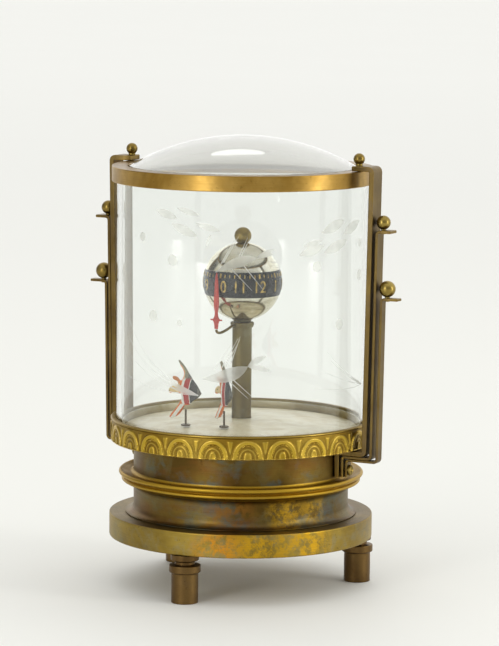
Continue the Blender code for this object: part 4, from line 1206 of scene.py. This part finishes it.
def make_underside():
    """The bottom cover, with a shallow turned groove near its edge."""
    cover = Span("bottom_cover")
    groove_z = cover.bottom + 0.25 * MM
    add_piece("bottom_cover_turned", turned([
        (0, cover.top), (cover.radius, cover.top), (cover.radius, cover.bottom),
        (cover.radius - 3 * MM, cover.bottom), (cover.radius - 3.4 * MM, groove_z),
        (cover.radius - 4.4 * MM, groove_z), (cover.radius - 4.8 * MM, cover.bottom), (0, cover.bottom),
    ], 0.2 * MM, 128, solid=True), BASE_BRASS, "bottom_cover")


def finish_cad_nodes():
    """Materials for the pieces inside the case, which keep their CAD shape."""
    looks = {
        GEAR_BRASS: ("movement_plate_upper", "movement_plate_lower", "center_wheel", "transfer_gear",
                     "motion_wheel", "hour_wheel", "third_wheel", "mainspring_barrel", "balance_wheel",
                     "balance_cock", "magnet_carrier"),
        GEAR_STEEL: ("globe_shaft", "center_arbor", "motion_arbor", "third_arbor", "winding_arbor"),
        STEEL: ("carrier_magnet_1", "carrier_magnet_2"),
        BALL_BRASS: ("set_knob", "winding_key"),
    }
    for material, nodes in looks.items():
        for node in nodes:
            for slot in NODES[node].material_slots:
                slot.material = material


# ---------------------------------------------------------------- stage, light and camera

FLOOR_REACH = 14.0
AIM = Vector((0, 0, 0.11))                # the middle of the clock, which the lamps face
# Brightness of the room, by degrees to the right of the direction of the clock's front.
ROOM = [(-180, 1.25), (-138, 1.25), (-130, 0.05), (-106, 0.05), (-98, 0.8), (-45, 0.5), (0, 0.36),
        (45, 0.5), (100, 1.2), (180, 1.25)]
OVERHEAD = 1.15
CAMERA_ROLL = math.radians(0.5)


def make_stage():
    """A pale floor that grows lighter away from the clock: its darker middle is painted shade against the
    lamps' brighter light near the clock.
    """
    bm = bmesh.new()
    bmesh.ops.create_circle(bm, cap_ends=True, segments=96, radius=FLOOR_REACH)
    paint = Paint("studio_floor", 0.7)
    paint.colour = paint.ramp(paint.between(paint.radius(), 0.15, 5.0), [
        (0.0, rgb(236, 236, 230)), (0.12, rgb(238, 238, 232)), (0.45, rgb(240, 240, 235)),
        (1.0, rgb(244, 244, 239))])
    paint.over(paint.noise(3.0, 2), 0.06, rgb(222, 222, 216))
    floor = new_object("studio_floor", as_mesh("studio_floor", bm))
    floor.data.materials.append(paint.done())


def add_lamp(name, side, elevation, distance, width, height, radiance, shape="RECTANGLE"):
    """A soft lamp that faces the clock from some degrees to the right of its front."""
    light = bpy.data.lights.new(name, "AREA")
    light.shape = shape
    light.size, light.size_y = width, height
    light.energy = radiance * math.pi * width * height
    lamp = new_object(name, light)
    turn, up = FRONT + math.radians(side), math.radians(elevation)
    away = Vector((*polar(math.cos(up), turn), math.sin(up)))
    lamp.location = AIM + distance * away
    lamp.rotation_euler = (-away).to_track_quat("-Z", "Y").to_euler()
    return lamp


def shield(lamp, names):
    """Keep a lamp's own reflection off some pieces, as a flag in front of it would."""
    kept_off = bpy.data.collections.new(f"{lamp.name}_shield")
    for name in names:
        kept_off.objects.link(bpy.data.objects[name])
    for entry in kept_off.collection_objects:
        entry.light_linking.link_state = "EXCLUDE"
    lamp.light_linking.receiver_collection = kept_off


def make_light():
    world = bpy.data.worlds.new("studio")
    world.use_nodes = True
    bpy.context.scene.world = world
    nodes = Nodes(world.node_tree)
    whole = nodes.node("TexCoord").outputs["Generated"]
    x, y, z = nodes.axes(nodes.node("Mapping", {"Vector": whole, "Rotation": (0, 0, -FRONT)}).outputs[0])
    brightest = max(level for _, level in ROOM)
    yellowing = 0.985
    walls = nodes.ramp(nodes.between(nodes.maths("ARCTAN2", y, x), -math.pi, math.pi), [
        (0.5 + degrees / 360, (level / brightest, level / brightest, yellowing * level / brightest, 1.0))
        for degrees, level in ROOM])
    sky = nodes.mix(nodes.between(z, 0.45, 0.9), walls, grey(OVERHEAD / brightest))
    background = nodes.tree.nodes["Background"]
    nodes.feed(background, "Color", sky)
    nodes.feed(background, "Strength", brightest)
    for name, side in (("softbox_left", -36), ("softbox_right", 68)):
        lamp = add_lamp(name, side, elevation=14, distance=1.5, width=0.30, height=1.0, radiance=6.0)
        shield(lamp, ("tank_wall", "lid_dome"))
    add_lamp("softbox_top", 182, elevation=45, distance=1.6, width=0.34, height=0.20, radiance=1.6,
             shape="ELLIPSE")


def make_camera():
    """A long lens 1.57 m in front of the clock and 0.33 m up, turned a little on its own axis."""
    distance, height, aim_height, aside = 1.57, 0.329, 0.129, 3.6 * MM
    focal_over_long_side = 4.98
    turn = Matrix.Rotation(FRONT + math.pi / 2, 4, "Z")
    spot = turn @ Vector((aside, -distance, height))
    target = turn @ Vector((aside, 0, aim_height))
    lens = bpy.data.cameras.new("camera")
    lens.sensor_width = 36.0
    lens.lens = focal_over_long_side * lens.sensor_width
    lens.clip_start, lens.clip_end = 0.05, 60
    camera = new_object("camera", lens)
    camera.location = spot
    aim = (target - spot).to_track_quat("-Z", "Y").to_matrix() @ Matrix.Rotation(CAMERA_ROLL, 3, "Z")
    camera.rotation_euler = aim.to_euler()
    bpy.context.scene.camera = camera
    bpy.context.scene.view_settings.view_transform = "Standard"


make_base()
make_neck()
make_feet()
make_band()
make_ring()
make_tank_floor()
make_glass()
make_cuts()
make_straps()
make_column()
make_globe()
make_pointer()
make_fish()
make_underside()
finish_cad_nodes()
make_stage()
make_light()
make_camera()
